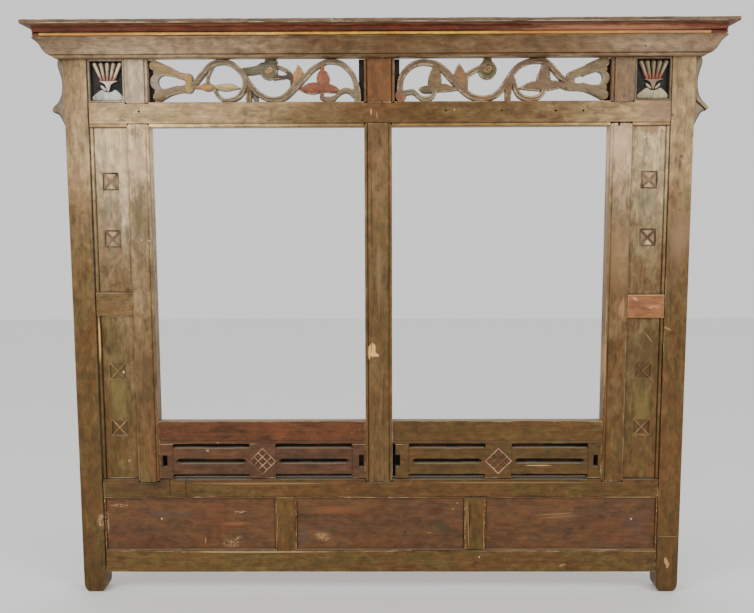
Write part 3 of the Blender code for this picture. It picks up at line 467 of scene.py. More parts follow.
def mesh_piece(name: str, points: Grid, faces: list[list[int]], materials: Sequence[Finish],
        picks: Sequence[int], layers: dict[str, Grid], soft: float = 38.0) -> bpy.types.Object:
    """Object from points and faces, with its surface layers.

    Args:
        name: Object name.
        points: Places of the points.
        faces: Corner numbers of the faces.
        materials: Material slots.
        picks: Slot of each face.
        layers: Named numbers or vectors, one per point.
        soft: Angle in degrees under which faces shade as one surface.

    Returns:
        The linked object.
    """
    mesh = bpy.data.meshes.new(name)
    mesh.from_pydata(points.tolist(), [], faces)
    for material in materials:
        mesh.materials.append(material)
    mesh.polygons.foreach_set("material_index", list(picks))
    for label, values in layers.items():
        kind, key = ("FLOAT_VECTOR", "vector") if values.ndim == 2 else ("FLOAT", "value")
        layer = mesh.attributes.new(label, kind, "POINT")
        layer.data.foreach_set(key, values.astype(np.float32).ravel())
    mesh.shade_smooth()
    mesh.set_sharp_from_angle(angle=math.radians(soft))
    mesh.update()
    return placed(name, mesh)


def placed(name: str, data: bpy.types.ID) -> bpy.types.Object:
    """A new object in the scene."""
    made = bpy.data.objects.new(name, data)
    bpy.context.scene.collection.objects.link(made)
    return made


def seed_of(name: str) -> float:
    """A steady number for a name."""
    return (sum((place + 3) * ord(letter) for place, letter in enumerate(name)) % 977) / 9.77


def along_grain(points: Grid, grain: Grain, seed: float) -> Grid:
    """Places along, across and through the grain, apart for each board."""
    order = [0, 2, 1] if grain is Grain.ACROSS else [2, 0, 1]
    return points[:, order] + np.array([seed, seed * 0.37, seed * 0.11])


def grid_lines(low: float, high: float, step: float, arris: float,
        close: Sequence[tuple[float, float, float]] = ()) -> Grid:
    """Places of a board's grid lines along one axis, close together at its edges.

    Args:
        low: Start of the board.
        high: End of the board.
        step: Usual distance between lines.
        arris: Radius of the rounded edge.
        close: Stretches with lines closer together, as (start, end, distance).

    Returns:
        Sorted places.
    """
    count = max(1, round((high - low) / step))
    places = list(np.linspace(low, high, count + 1))
    for share in (0.12, 0.45, 1.0, 2.2, 4.2):
        places += [low + arris * share, high - arris * share]
    for start, end, spacing in close:
        places = [place for place in places if not start < place < end]
        places += list(np.linspace(start, end, max(1, round((end - start) / spacing)) + 1))
    places = np.array(sorted(place for place in places if low - 1e-9 <= place <= high + 1e-9))
    keep = np.concatenate([[True], np.diff(places) > 0.00012])
    return places[keep]


@dataclass
class Board:
    """A rectangular member or panel, worked from its front face.

    Its depths are measured back from the node's foremost plane.
    """

    node: str
    grain: Grain
    paint: Finish
    depth: Surface | None = None
    grime: Surface | None = None
    zone: Callable[[Grid, Grid], tuple[Grid, Grid]] | None = None
    picks: Callable[[Grid, Grid, Grid], Grid] | None = None
    more_paints: Sequence[Finish] = ()
    marks: Sequence[Mark] = ()
    close_x: Sequence[tuple[float, float, float]] = ()
    close_z: Sequence[tuple[float, float, float]] = ()
    step: float = 0.006
    arris: float = 0.0014
    hollow: float = 0.0007
    slack: float = 0.00015
    grow: tuple[float, float, float, float] = (0.0, 0.0, 0.0, 0.0)
    corner: float = 0.0
    warp: Callable[[Grid], Grid] | None = None

    def build(self) -> bpy.types.Object:
        """Make the piece, stand it for its node and let it ride.

        Returns:
            The piece.
        """
        low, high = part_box(self.node)
        left, right = low.x - self.grow[0], high.x + self.grow[1]
        bottom, top = low.z - self.grow[2], high.z + self.grow[3]
        seed = seed_of(self.node)
        close_x, close_z = list(self.close_x), list(self.close_z)
        for mark in self.marks:
            if mark.sunk:
                wide, tall = 1.2 * mark.wide, 1.2 * mark.high
                close_x.append((mark.x - wide, mark.x + wide, min(max(wide / 3, 0.0006), 0.004)))
                close_z.append((mark.z - tall, mark.z + tall, min(max(tall / 3, 0.0006), 0.004)))
        xs = grid_lines(left, right, self.step, self.arris, close_x)
        zs = grid_lines(bottom, top, self.step, self.arris, close_z)
        x, z = np.meshgrid(xs, zs, indexing="ij")
        gap = np.minimum(np.minimum(x - left, right - x), np.minimum(z - bottom, top - z))
        depth = np.zeros_like(x) if self.depth is None else self.depth(x, z)
        inner = np.clip(self.arris - gap, 0, self.arris)
        depth = depth + self.arris - np.sqrt(np.maximum(self.arris ** 2 - inner ** 2, 0))
        worn = np.maximum(drift(x, z, 0.045, seed) - 0.15, 0) * np.exp(-np.maximum(gap, 0) / 0.0016)
        depth = depth + 0.0011 * worn
        depth = depth + self.hollow * (0.5 + 0.3 * drift(x, z, 0.11, seed + 1)
            + 0.2 * drift(x, z, 0.03, seed + 2))
        for mark in self.marks:
            depth = depth + mark.sunk * mark.share(x, z)
        depth = np.minimum(depth, (high.y - low.y) * 0.92)
        across, upward = self._pulled(x, z, left, right, bottom, top, seed)
        front = np.stack([across, low.y + depth, upward], -1)
        nx, nz = x.shape
        points = [front.reshape(-1, 3)]
        index = np.arange(nx * nz).reshape(nx, nz)
        quads = np.stack([index[:-1, :-1], index[1:, :-1], index[1:, 1:], index[:-1, 1:]], -1).reshape(-1, 4)
        rim = np.concatenate([index[:, 0], index[-1, 1:], index[-2::-1, -1], index[0, -2:0:-1]])
        faces, count, border = quads.tolist(), nx * nz, len(rim)
        gaps, ring = [np.clip(gap, 0, 1).ravel()], rim
        rim_points = front.reshape(-1, 3)[rim]
        last = high.y - 0.0008
        front_edge = rim_points[:, 1]
        loops = []
        for level, share in ((front_edge + 0.0035, 0.0035), ((front_edge + last) / 2, 0.012),
                (last - 0.003, 0.004), (last, 0.0)):
            loop = rim_points.copy()
            loop[:, 1] = np.clip(level, front_edge, last)
            loops.append((loop, share))
        cap = rim_points.copy()
        middle = np.array([(left + right) / 2, 0, (bottom + top) / 2])
        pull = np.sign(cap - middle) * np.minimum(np.abs(cap - middle) * 0.02, 0.001)
        cap[:, [0, 2]] -= pull[:, [0, 2]]
        cap[:, 1] = high.y - 0.0001
        for loop, share in (*loops, (cap, 0.012)):
            points.append(loop)
            gaps.append(np.full(border, share))
            after = np.arange(count, count + border)
            faces += np.stack([ring, after, np.roll(after, -1), np.roll(ring, -1)], -1).tolist()
            ring, count = after, count + border
        faces.append(after[::-1].tolist())
        points = np.concatenate(points)
        gaps = np.concatenate(gaps)
        if self.warp is not None:
            points = self.warp(points)
        picks = np.zeros(len(faces), int)
        if self.picks is not None:
            centre = front.reshape(-1, 3)[quads].mean(1)
            picks[:len(quads)] = self.picks(centre[:, 0], centre[:, 2], centre[:, 1] - low.y)
        materials = [self.paint, *self.more_paints, back_timber()]
        picks[-1] = len(materials) - 1
        # Darkening layer: the member's own dirt and painted shade, and dark joints at its edges.
        darkening = np.zeros(len(points))
        if self.grime is not None:
            darkening[:nx * nz] = self.grime(x, z).ravel()
        darkening[:nx * nz] = np.maximum(darkening[:nx * nz], 0.55 * np.exp(-np.clip(gap, 0, 1).ravel() / 0.0006))
        layers = {"grain": along_grain(points, self.grain, seed), "edge_gap": gaps, "grime": darkening}
        if self.zone is not None:
            share, shade = self.zone(x, z)
            shares, shades = np.zeros(len(points)), np.zeros((len(points), 3))
            shares[:nx * nz], shades[:nx * nz] = share.ravel(), shade.reshape(-1, 3)
            layers |= {"zone_share": shares, "zone": shades}
        piece = mesh_piece(f"painted_{self.node}", points, faces, materials, picks, layers)
        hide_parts(self.node)
        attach(piece, "root")
        LOG.info("%s: %d faces", piece.name, len(faces))
        return piece

    def _pulled(self, x: Grid, z: Grid, left: float, right: float, bottom: float, top: float,
            seed: float) -> tuple[Grid, Grid]:
        """The grid drawn in a little at its edges, where shrinkage and wear have opened the joints."""
        def near(away: Grid) -> Grid:
            """Share of the pull at a distance from the edge."""
            return np.exp(-away / 0.006)

        flat = np.zeros_like(x)
        pull = self.slack * 0.5
        across = x + pull * near(x - left) * (1 + 0.8 * drift(flat, z, 0.07, seed + 3))
        across = across - pull * near(right - x) * (1 + 0.8 * drift(flat, z, 0.06, seed + 4))
        upward = z + pull * near(z - bottom) * (1 + 0.8 * drift(x, flat, 0.07, seed + 5))
        upward = upward - pull * near(top - z) * (1 + 0.8 * drift(x, flat, 0.06, seed + 6))
        if self.corner:
            near_x = np.minimum(x - left, right - x)
            rounding = self.corner * (1 - smooth(near_x, 0, self.corner * 2.2)) ** 2
            upward = upward - rounding * near(top - z) * (self.grow[3] > 0)
            upward = upward + rounding * near(z - bottom) * (self.grow[2] > 0)
        return across, upward


@cache
def back_timber() -> Finish:
    """Material of every unseen back, made once."""
    return BACK_TIMBER.material()


def blurred(grid: Grid, reach: int) -> Grid:
    """Grid averaged over a square of neighbours."""
    for axis in (0, 1):
        grid = sum(np.roll(grid, shift, axis) for shift in range(-reach, reach + 1)) / (2 * reach + 1)
    return grid


def smooth_path(points: Stroke, steps: int = 0, spacing: float = 0.0016) -> Grid:
    """Points read along a Catmull-Rom curve: a set number to a span, or spaced for a stroke."""
    knots = np.array(points, dtype=float)
    if len(knots) == 1:
        return knots
    padded = np.vstack([2 * knots[0] - knots[1], knots, 2 * knots[-1] - knots[-2]])
    path = [knots[:1]]
    for index in range(len(knots) - 1):
        before, start, end, after = padded[index:index + 4]
        count = steps or max(2, int(np.hypot(*(end - start)[:2]) / spacing) + 1)
        t = np.linspace(0, 1, count + 1)[1:, None]
        path.append(0.5 * (2 * start + (end - before) * t
            + (2 * before - 5 * start + 4 * end - after) * t ** 2
            + (3 * start - before - 3 * end + after) * t ** 3))
    return np.vstack(path)


@dataclass
class Cutout:
    """A board sawn to an outline, with relief on its face.

    The outline is a signed distance, negative inside, over the node's width and height.
    """

    node: str
    grain: Grain
    paint: Finish
    wall: Finish
    edge: Surface
    face: Callable[[Grid, Grid], tuple[Grid, Grid]]
    cell: float = 0.00122
    cavity: float = 0.0016

    def build(self) -> bpy.types.Object:
        """Make the piece, stand it for its node and let it ride.

        Returns:
            The piece.
        """
        low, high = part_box(self.node)
        xs = np.linspace(low.x, high.x, round((high.x - low.x) / self.cell) + 1)
        zs = np.linspace(low.z, high.z, round((high.z - low.z) / self.cell) + 1)
        x, z = np.meshgrid(xs, zs, indexing="ij")
        edge = self.edge(x, z)
        kept = (edge[:-1, :-1] + edge[1:, :-1] + edge[1:, 1:] + edge[:-1, 1:]) < 0
        for _ in range(3):
            one = kept[:-1, :-1] & kept[1:, 1:] & ~kept[1:, :-1] & ~kept[:-1, 1:]
            two = kept[1:, :-1] & kept[:-1, 1:] & ~kept[:-1, :-1] & ~kept[1:, 1:]
            kept[1:, :-1] |= one
            kept[:-1, :-1] |= two
        padded = np.pad(kept, 1)
        around = [padded[:-1, :-1], padded[1:, :-1], padded[1:, 1:], padded[:-1, 1:]]
        used = np.any(around, axis=0)
        border = used & ~np.all(around, axis=0)
        slope_x, slope_z = np.gradient(edge, xs, zs)
        slope = np.maximum(slope_x ** 2 + slope_z ** 2, 0.2)
        reach = 0.72 * self.cell
        x = np.where(border, np.clip(x - np.clip(edge * slope_x / slope, -reach, reach), low.x, high.x), x)
        z = np.where(border, np.clip(z - np.clip(edge * slope_z / slope, -reach, reach), low.z, high.z), z)
        depth, zone = self.face(x, z)
        depth = np.minimum(depth + 0.0006 * border, (high.y - low.y) * 0.9)
        # Painted shade in the relief's hollows, where it sinks below its neighbours; the crests get a small
        # edge gap so they wear to bare paint, wear that also serves as a painted highlight.
        hollow = depth - blurred(depth, 3)
        darkening = np.clip(hollow / self.cavity, 0, 1) * 0.8
        ridge = np.clip(0.0035 + hollow * 2.4, 0.0004, 0.012)
        number = np.cumsum(used.ravel()).reshape(used.shape) - 1
        rims = np.cumsum(border.ravel()).reshape(border.shape) - 1
        count, rim_count = int(used.sum()), int(border.sum())
        front = np.stack([x[used], low.y + depth[used], z[used]], -1)
        last = high.y - 0.0002
        rear = front.copy()
        rear[:, 1] = last
        edges = np.stack([x[border], low.y + depth[border], z[border]], -1)
        points, gaps = [front, rear], [ridge[used], np.full(count, 0.012)]
        for share in (0.08, 0.5, 0.94):
            loop = edges.copy()
            loop[:, 1] += (last - loop[:, 1]) * share
            points.append(loop)
            gaps.append(np.full(rim_count, 0.012))
        i, j = np.nonzero(kept)
        quads = np.stack([number[i, j], number[i + 1, j], number[i + 1, j + 1], number[i, j + 1]], -1)
        faces = quads.tolist() + (quads[:, ::-1] + count).tolist()
        corners = ((0, 0), (1, 0), (1, 1), (0, 1))
        open_to = ((0, -1), (1, 0), (0, 1), (-1, 0))
        for side in range(4):
            di, dj = open_to[side]
            bare = kept & ~padded[1 + di:padded.shape[0] - 1 + di, 1 + dj:padded.shape[1] - 1 + dj]
            i, j = np.nonzero(bare)
            a = (i + corners[side][0], j + corners[side][1])
            b = (i + corners[(side + 1) % 4][0], j + corners[(side + 1) % 4][1])
            levels = [(number[a], number[b])]
            levels += [(2 * count + k * rim_count + rims[a], 2 * count + k * rim_count + rims[b])
                for k in range(3)]
            levels.append((number[a] + count, number[b] + count))
            for (a0, b0), (a1, b1) in zip(levels, levels[1:]):
                faces += np.stack([a0, a1, b1, b0], -1).tolist()
        picks = np.zeros(len(faces), int)
        picks[len(quads):2 * len(quads)] = 2
        picks[2 * len(quads):] = 1
        points = np.concatenate(points)
        shades = np.tile(np.array(zone[used].mean(0)), (len(points), 1))
        shades[:count] = zone[used]
        darkness = np.zeros(len(points))
        darkness[:count] = darkening[used]
        layers = {"grain": along_grain(points, self.grain, seed_of(self.node)),
            "edge_gap": np.concatenate(gaps), "grime": darkness, "zone": shades,
            "zone_share": np.ones(len(points))}
        piece = mesh_piece(f"painted_{self.node}", points, faces, [self.paint, self.wall, back_timber()],
            picks, layers, 50.0)
        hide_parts(self.node)
        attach(piece, "root")
        LOG.info("%s: %d faces", piece.name, len(faces))
        return piece


class Shape(Enum):
    """How the surface of a carved stroke is worked."""

    VINE = "vine"
    LEAF = "leaf"
    LOBE = "lobe"
    BUD = "bud"
    ROSETTE = "rosette"
    WEB = "web"
    BAND = "band"

    @property
    def fullness(self) -> float:
        """Width of the stroke beside the drawn one."""
        return {Shape.VINE: 1.12, Shape.LEAF: 1.26, Shape.LOBE: 1.06}.get(self, 1.0)

    def height(self, t: Grid, along: Grid) -> Grid:
        """Height share of the surface.

        Args:
            t: Distance from the middle line, 1 at the edge.
            along: Place along the stroke from 0 to 1, or the turn round a single point.

        Returns:
            Height from about 0 to 1.
        """
        t = np.minimum(t, 1.0)
        dome = np.sqrt(1 - 0.94 * t ** 2)
        if self is Shape.VINE:
            return 0.52 + 0.42 * dome - 0.17 * np.exp(-(t / 0.22) ** 2)
        if self is Shape.LEAF:
            return 0.5 + 0.36 * (1 - t) ** 0.8 + 0.05 * np.cos(34 * along
                - 5 * t) * t - 0.12 * np.exp(-(t / 0.13) ** 2)
        if self is Shape.LOBE:
            return 0.45 + 0.42 * dome
        if self is Shape.BUD:
            return 0.48 + 0.46 * dome - 0.2 * np.exp(-(t / 0.4) ** 2) + 0.05 * np.cos(7 * along + 9 * t)
        if self is Shape.ROSETTE:
            petals = 0.09 * np.cos(8 * along) * smooth(t, 0.45, 0.7)
            return 0.5 + 0.4 * dome + petals - 0.26 * np.exp(-((t - 0.5) / 0.09) ** 2)
        if self is Shape.WEB:
            return np.full_like(t, 0.18)
        return 0.66 + 0.24 * dome


VINE, LEAF, LOBE, BUD, ROSETTE, WEB, BAND = Shape


@dataclass(frozen=True)
class Element:
    """One stroke of carving: how it is shaped, its shade, and its path (along, up, half width)."""

    shape: Shape
    shade: Colour
    path: Stroke
    lift: float = 0.0


@dataclass
class Carving:
    """A set of carved strokes placed in a bay."""

    elements: Sequence[Element]
    bay: tuple[float, float, float, float]
    grid: tuple[float, float]
    hole: Stroke = ()
    pads: Sequence[tuple[float, float]] = ()

    def _placed(self, path: Stroke, fullness: float) -> Grid:
        """Stroke moved from the drawing grid into the bay, and smoothed."""
        left, right, bottom, top = self.bay
        along, up = (right - left) / self.grid[0], (top - bottom) / self.grid[1]
        return smooth_path([(left + x * along, bottom + z * up, radius * up * fullness) for x, z,
            radius in path])

    def _reach(self, path: Stroke, x: Grid, z: Grid, fullness: float = 1.0) -> tuple[Grid, Grid, Grid]:
        """Signed distance, share of the half width and place along a stroke, near it."""
        line = self._placed(path, fullness)
        best, share, along = np.full(x.shape, 9.0), np.full(x.shape, 9.0), np.zeros(x.shape)
        pad = line[:, 2].max() + 0.006
        near = ((x > line[:, 0].min() - pad) & (x < line[:, 0].max() + pad) & (z > line[:, 1].min() - pad)
            & (z < line[:, 1].max() + pad))
        px, pz = x[near], z[near]
        low, part, place = best[near], share[near], along[near]
        for step, (cx, cz, radius) in enumerate(line):
            away = np.hypot(px - cx, pz - cz)
            closer = away - radius < low
            low = np.where(closer, away - radius, low)
            part = np.where(closer, away / radius, part)
            turn = np.arctan2(pz - cz, px - cx) if len(line) == 1 else step / (len(line) - 1)
            place = np.where(closer, turn, place)
        best[near], share[near], along[near] = low, part, place
        return best, share, along

    def edge(self, x: Grid, z: Grid) -> Grid:
        """Signed distance to the carving's outline."""
        left, right, bottom, top = self.bay
        field = np.full(x.shape, 9.0)
        for element in self.elements:
            field = np.minimum(field, self._reach(element.path, x, z, element.shape.fullness)[0])
        if self.hole:
            field = np.maximum(field, -self._reach(self.hole, x, z)[0])
        for start, end in self.pads:
            field = np.minimum(field, np.abs(x - (start + end) / 2) - (end - start) / 2)
        box = np.maximum(np.abs(x - (left + right) / 2) - (right - left) / 2,
            np.abs(z - (bottom + top) / 2) - (top - bottom) / 2)
        return np.maximum(field, box)

    def surface(self, x: Grid, z: Grid) -> tuple[Grid, Grid, Grid]:
        """Height, colour and signed distance of the strokes' surface."""
        height, field = np.full(x.shape, -9.0), np.full(x.shape, 9.0)
        shade = np.zeros((*x.shape, 3))
        for element in self.elements:
            away, t, along = self._reach(element.path, x, z, element.shape.fullness)
            field = np.minimum(field, away)
            tall = element.shape.height(t, along) + element.lift - 350 * np.maximum(away, 0)
            higher = tall > height
            height = np.where(higher, tall, height)
            shade[higher] = rgb(element.shade)
        if self.hole:
            field = np.maximum(field, -self._reach(self.hole, x, z)[0])
        return height, shade, field


@dataclass(frozen=True)
class Bead:
    """Half-round bead worked along an edge, with a quirk beside it."""

    width: float = 0.008
    quirk: float = 0.0016
    cut: float = 0.0022
    darkness: float = 0.85

    def depth(self, gap: Grid) -> Grid:
        """Depth of the bead's surface at a distance from the edge."""
        radius = self.width / 2
        curve = radius - np.sqrt(np.maximum(radius ** 2 - (gap - radius) ** 2, 0))
        groove = self.cut * np.maximum(1 - np.abs(gap - self.width - self.quirk / 2) / (self.quirk * 0.7), 0)
        return np.where(gap < self.width, np.minimum(curve, radius), 0) + groove

    def darkening(self, gap: Grid) -> Grid:
        """Darkening in the quirk."""
        return self.darkness * np.exp(-((gap - self.width - self.quirk / 2) / (self.quirk * 0.62)) ** 2)

    def lines(self, edge: float, way: int) -> tuple[float, float, float]:
        """Stretch of grid lines that the bead needs, from its edge inwards."""
        ends = sorted((edge + way * 0.0003, edge + way * (self.width + 2.2 * self.quirk)))
        return ends[0], ends[1], 0.0007


@dataclass
class Frame:
    """Rails, posts, jambs and mullion: the members of the frame."""

    bead: Bead = field(default_factory=lambda: Bead(cut=0.0013, darkness=0.3))
    lap: float = 0.0085
    foot_height: float = 0.026
    foot_side: float = 0.0165
    nail_radius: float = 0.0025
    nail_places: tuple[float, ...] = (-0.6106, 0.169, 0.311, 0.447, 0.517)
    nail_height: float = 1.273

    def _edge_depth(self, low_edge: float, high_edge: float, along_z: bool,
            stops: Sequence[tuple[float, float]] = ()) -> tuple[Surface, Surface]:
        """Depth and dirt of a member with a bead along one edge or both.

        Args:
            low_edge: Place of a beaded lower or left edge, or minus infinity.
            high_edge: Place of a beaded upper or right edge, or infinity.
            along_z: Whether the member stands upright.
            stops: Stretches where the beads are cut away for other members.

        Returns:
            Functions for depth and darkening.
        """
        bead, lap = self.bead, self.lap

        def gaps(x: Grid, z: Grid) -> Grid:
            """Distance to the nearest beaded edge."""
            place = x if along_z else z
            return np.clip(np.minimum(place - low_edge, high_edge - place), 0, 1)

        def housed(x: Grid, z: Grid) -> Grid:
            """1 where another member laps over the bead."""
            inside = np.zeros_like(x)
            for start, end in stops:
                inside = np.maximum(inside, ((x > start) & (x < end)).astype(float))
            return inside * (gaps(x, z) < lap + 0.0006)

        def depth(x: Grid, z: Grid) -> Grid:
            """Depth of the member's face."""
            cut = housed(x, z)
            return bead.depth(gaps(x, z)) * (1 - cut) + 0.012 * cut

        def darkening(x: Grid, z: Grid) -> Grid:
            """Darkening on the member's face, in the quirk and where another member laps over."""
            return np.maximum(bead.darkening(gaps(x, z)), housed(x, z))

        return depth, darkening

    def build(self) -> None:
        """Make every member."""
        self._rails()
        self._uprights()
        self._posts()
        self._side_rails()

    def _rails(self) -> None:
        """Upper, mid and bottom rails and the two sills."""
        laps = [(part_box(node)[0].x - 0.0004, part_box(node)[1].x + 0.0004)
            for node in ("jamb_left", "mullion", "jamb_right")]
        ends = [value for lap in laps for value in lap]
        low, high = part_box("upper_rail")
        gold = Paint("rail_gold_paint", 0x96703C, 0xFFDE96, 0x866236, 0x784E2E, 0x966C3C, glare_and_bleach=1.0,
            losses=0.8, dust=0.0, shine=0.36).material()
        left_light, mullion, right_light = laps[0][1], laps[1], laps[2][0]
        nails = [Mark(place, self.nail_height + 0.001 * math.sin(9 * place), self.nail_radius,
            self.nail_radius, 0x22160E, sunk=0.004, ragged=0.2) for place in self.nail_places]
        scars = [
            wash(0.72, 1.27, 0.1, 0.06, 0x8C6E54, 0.6, 0.5),
            Mark(-0.0205, 1.271, 0.0028, 0.008, 0xB09470, ragged=0.5, strength=0.8),
            Mark(-0.655, 1.252, 0.012, 0.004, 0x786242, ragged=0.8, strength=0.7),
            Mark(-0.6455, 1.259, 0.0012, 0.0012, 0x302214, sunk=0.002, ragged=0.3),
            Mark(-0.628, 1.2575, 0.0012, 0.0012, 0x302214, sunk=0.002, ragged=0.3),
            Mark(0.1905, 1.2755, 0.002, 0.0022, 0xC4AA84, ragged=0.4),
            Mark(-0.006, 1.262, 0.0016, 0.01, 0x967A54, ragged=0.6, turn=8)]
        depth, darkening = self._edge_depth(low.z, math.inf, False, laps)
        feet = [(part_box(node)[0].x - 0.0003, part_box(node)[1].x + 0.0003)
            for node in ("frieze_stile_left", "frieze_mullion", "frieze_stile_right")]
        plain = depth

        def depth(x: Grid, z: Grid) -> Grid:
            """The rail's face, housed at its top for the frieze's stiles."""
            cut = np.zeros_like(x)
            for start, end in feet:
                cut = np.maximum(cut, ((x > start) & (x < end) & (z > high.z - 0.0043)).astype(float))
            return plain(x, z) * (1 - cut) + 0.012 * cut

        def beads(x: Grid, z: Grid, _: Grid) -> Grid:
            """Gold on the bead over the two lights."""
            over = ((x > left_light) & (x < mullion[0])) | ((x > mullion[1]) & (x < right_light))
            return np.where(over & (z < low.z + 0.0065), 1, 0)

        Board("upper_rail", Grain.ACROSS, OLIVE.material(nails + scars, "_upper_rail"), depth=depth,
            grime=darkening, marks=nails + scars[3:5], picks=beads, more_paints=[gold], arris=0.0006,
            close_x=[(end - 0.0004, end + 0.0004, 0.0002)
                for end in ends + [e for foot in feet for e in foot]],
            close_z=[self.bead.lines(low.z, 1), (high.z - 0.005, high.z - 0.0036, 0.0002)]).build()
        low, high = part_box("mid_rail")
        depth, darkening = self._edge_depth(-math.inf, high.z, False, laps)
        patch = [Mark(-0.5605, 0.29, 0.0009, 0.024, DARK_LINE, sunk=0.0014, square=True, ragged=0.12),
            Mark(-0.5175, 0.29, 0.0008, 0.024, DARK_LINE, sunk=0.0012, square=True, ragged=0.12)]
        streaks = [
            Mark(-0.3, 0.301, 0.17, 0.0022, 0x9E8256, strength=0.6),
            Mark(0.33, 0.303, 0.2, 0.0018, 0x967A4C, strength=0.5),
            wash(-0.65, 0.292, 0.12, 0.03, 0x46301A, 0.5, 0.5),
            Mark(-0.59, 0.305, 0.03, 0.022, 0x342414, soft=0.8, strength=0.6)]
        Board("mid_rail", Grain.ACROSS, OLIVE.material(patch + streaks, "_mid_rail"), depth=depth, grime=darkening,
            marks=patch, arris=0.0006, close_x=[(end - 0.0004, end + 0.0004, 0.0002) for end in ends],
            close_z=[self.bead.lines(high.z, -1)]).build()
        wear = [
            Mark(-0.33, 0.112, 0.2, 0.0022, 0xB89C6C, strength=0.7),
            Mark(0.487, 0.075, 0.01, 0.003, 0xAA8A58, strength=0.6, turn=20),
            Mark(0.265, 0.0975, 0.002, 0.002, 0xD8BE8C, ragged=0.4),
            wash(0.72, 0.09, 0.022, 0.018, 0x281C10, 0.6),
            wash(-0.1, 0.085, 0.2, 0.016, 0x4A381C, 0.35),
            Mark(0.2, 0.1135, 0.16, 0.0016, 0x3C2816, strength=0.7)]
        Board("bottom_rail", Grain.ACROSS, RAIL_OLIVE.material(wear, "_bottom_rail")).build()
        for side, paint in (("left", RED_BROWN), ("right", OLIVE)):
            low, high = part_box(f"sill_rail_{side}")
            depth, darkening = self._edge_depth(low.z, math.inf, False)
            Board(f"sill_rail_{side}", Grain.ACROSS, paint.material(suffix=f"_sill_{side}"), depth=depth,
                grime=darkening, arris=0.001, close_z=[self.bead.lines(low.z, 1)]).build()

    def _uprights(self) -> None:
        """Jambs and mullion, lapped over the rails' beads, and the two bottom stiles."""
        bare = 0xE8B46C
        chip = [
            Mark(-0.0195, 0.66, 0.0085, 0.019, bare, sunk=0.0018, turn=-2),
            Mark(-0.0275, 0.653, 0.0036, 0.018, bare, sunk=0.0014),
            Mark(-0.012, 0.6475, 0.011, 0.0055, bare, sunk=0.0014, ragged=0.8, turn=-14),
            Mark(-0.0222, 0.668, 0.0012, 0.015, 0x825630, ragged=0.6)]
        cracks = [
            Mark(-0.02, 1.02, 0.0008, 0.17, 0x3E2C1A, sunk=0.0009, ragged=0.6, turn=0.6, strength=0.8),
            Mark(0.01, 0.56, 0.0008, 0.12, 0x3E2C1A, sunk=0.0008, ragged=0.6, turn=-0.8, strength=0.75),
            Mark(-0.002, 0.86, 0.006, 0.1, 0x8C724E, strength=0.35)]
        washes = [
            wash(0.612, 1.19, 0.05, 0.06, 0xE2BC98, 0.6, 0.5),
            wash(0.612, 0.9, 0.05, 0.12, 0x9C784E, 0.5, 0.5),
            wash(0.607, 1.03, 0.022, 0.042, 0x6C6648, 0.5),
            wash(0.6, 0.975, 0.01, 0.03, 0x605436, 0.4),
            Mark(0.6285, 0.767, 0.01, 0.03, 0xB07C54, soft=0.7, strength=0.8),
            Mark(0.5885, 0.64, 0.0022, 0.085, 0xC4965C, soft=0.5, strength=0.7),
            Mark(0.593, 0.52, 0.005, 0.11, 0x8C5C2E, soft=0.8, strength=0.5)]
        notch = washes + [Mark(0.6085, 1.2385, 0.0032, 0.0055, 0x361E10, sunk=0.003, ragged=0.4),
            Mark(0.6015, 1.24, 0.0045, 0.003, 0xD6BA96, ragged=0.5)]
        dots = [
            Mark(-0.624, 1.222, 0.019, 0.019, 0x745A3E, ragged=1.4, soft=0.7, strength=0.6),
            wash(-0.612, 1.146, 0.026, 0.06, 0xD8B492, 0.45, 0.8),
            wash(-0.615, 1.0, 0.04, 0.12, 0x6A5C3C, 0.75, 0.5),
            wash(-0.615, 0.6, 0.05, 0.19, 0x543C20, 0.6, 0.5),
            Mark(-0.614, 0.948, 0.0018, 0.0018, 0xDEC8A8, ragged=0.3),
            Mark(-0.5945, 0.946, 0.002, 0.0026, 0xDEC8A8, ragged=0.4)]
        for node, marks, paint, seen in (
                ("jamb_left", dots, JAMB_OLIVE, ("high",)),
                ("mullion", chip + cracks, MULLION_OLIVE, ("low", "high")),
                ("jamb_right", notch, JAMB_OLIVE, ("low",))):
            low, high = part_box(node)
            depth, darkening = self._edge_depth(low.x if "low" in seen else -math.inf,
                high.x if "high" in seen else math.inf, True)
            close = []
            if "low" in seen:
                close.append(self.bead.lines(low.x, 1))
            if "high" in seen:
                close.append(self.bead.lines(high.x, -1))
            Board(node, Grain.UPRIGHT, paint.material(marks, f"_{node}"), depth=depth, grime=darkening,
                marks=[mark for mark in marks if mark.sunk], close_x=close, grow=(0, 0, self.lap, self.lap),
                corner=0.004, arris=0.001).build()
        crack = [Mark(0.2345, 0.19, 0.0014, 0.066, 0xA07C50, sunk=0.0008, turn=1.5, strength=0.75),
            Mark(0.2385, 0.212, 0.0009, 0.04, 0x342214, sunk=0.0014, ragged=0.6, turn=-2)]
        for side, marks in (("left", []), ("right", crack)):
            Board(f"bottom_stile_{side}", Grain.UPRIGHT, OLIVE.material(marks, f"_bottom_stile_{side}"),
                marks=marks).build()

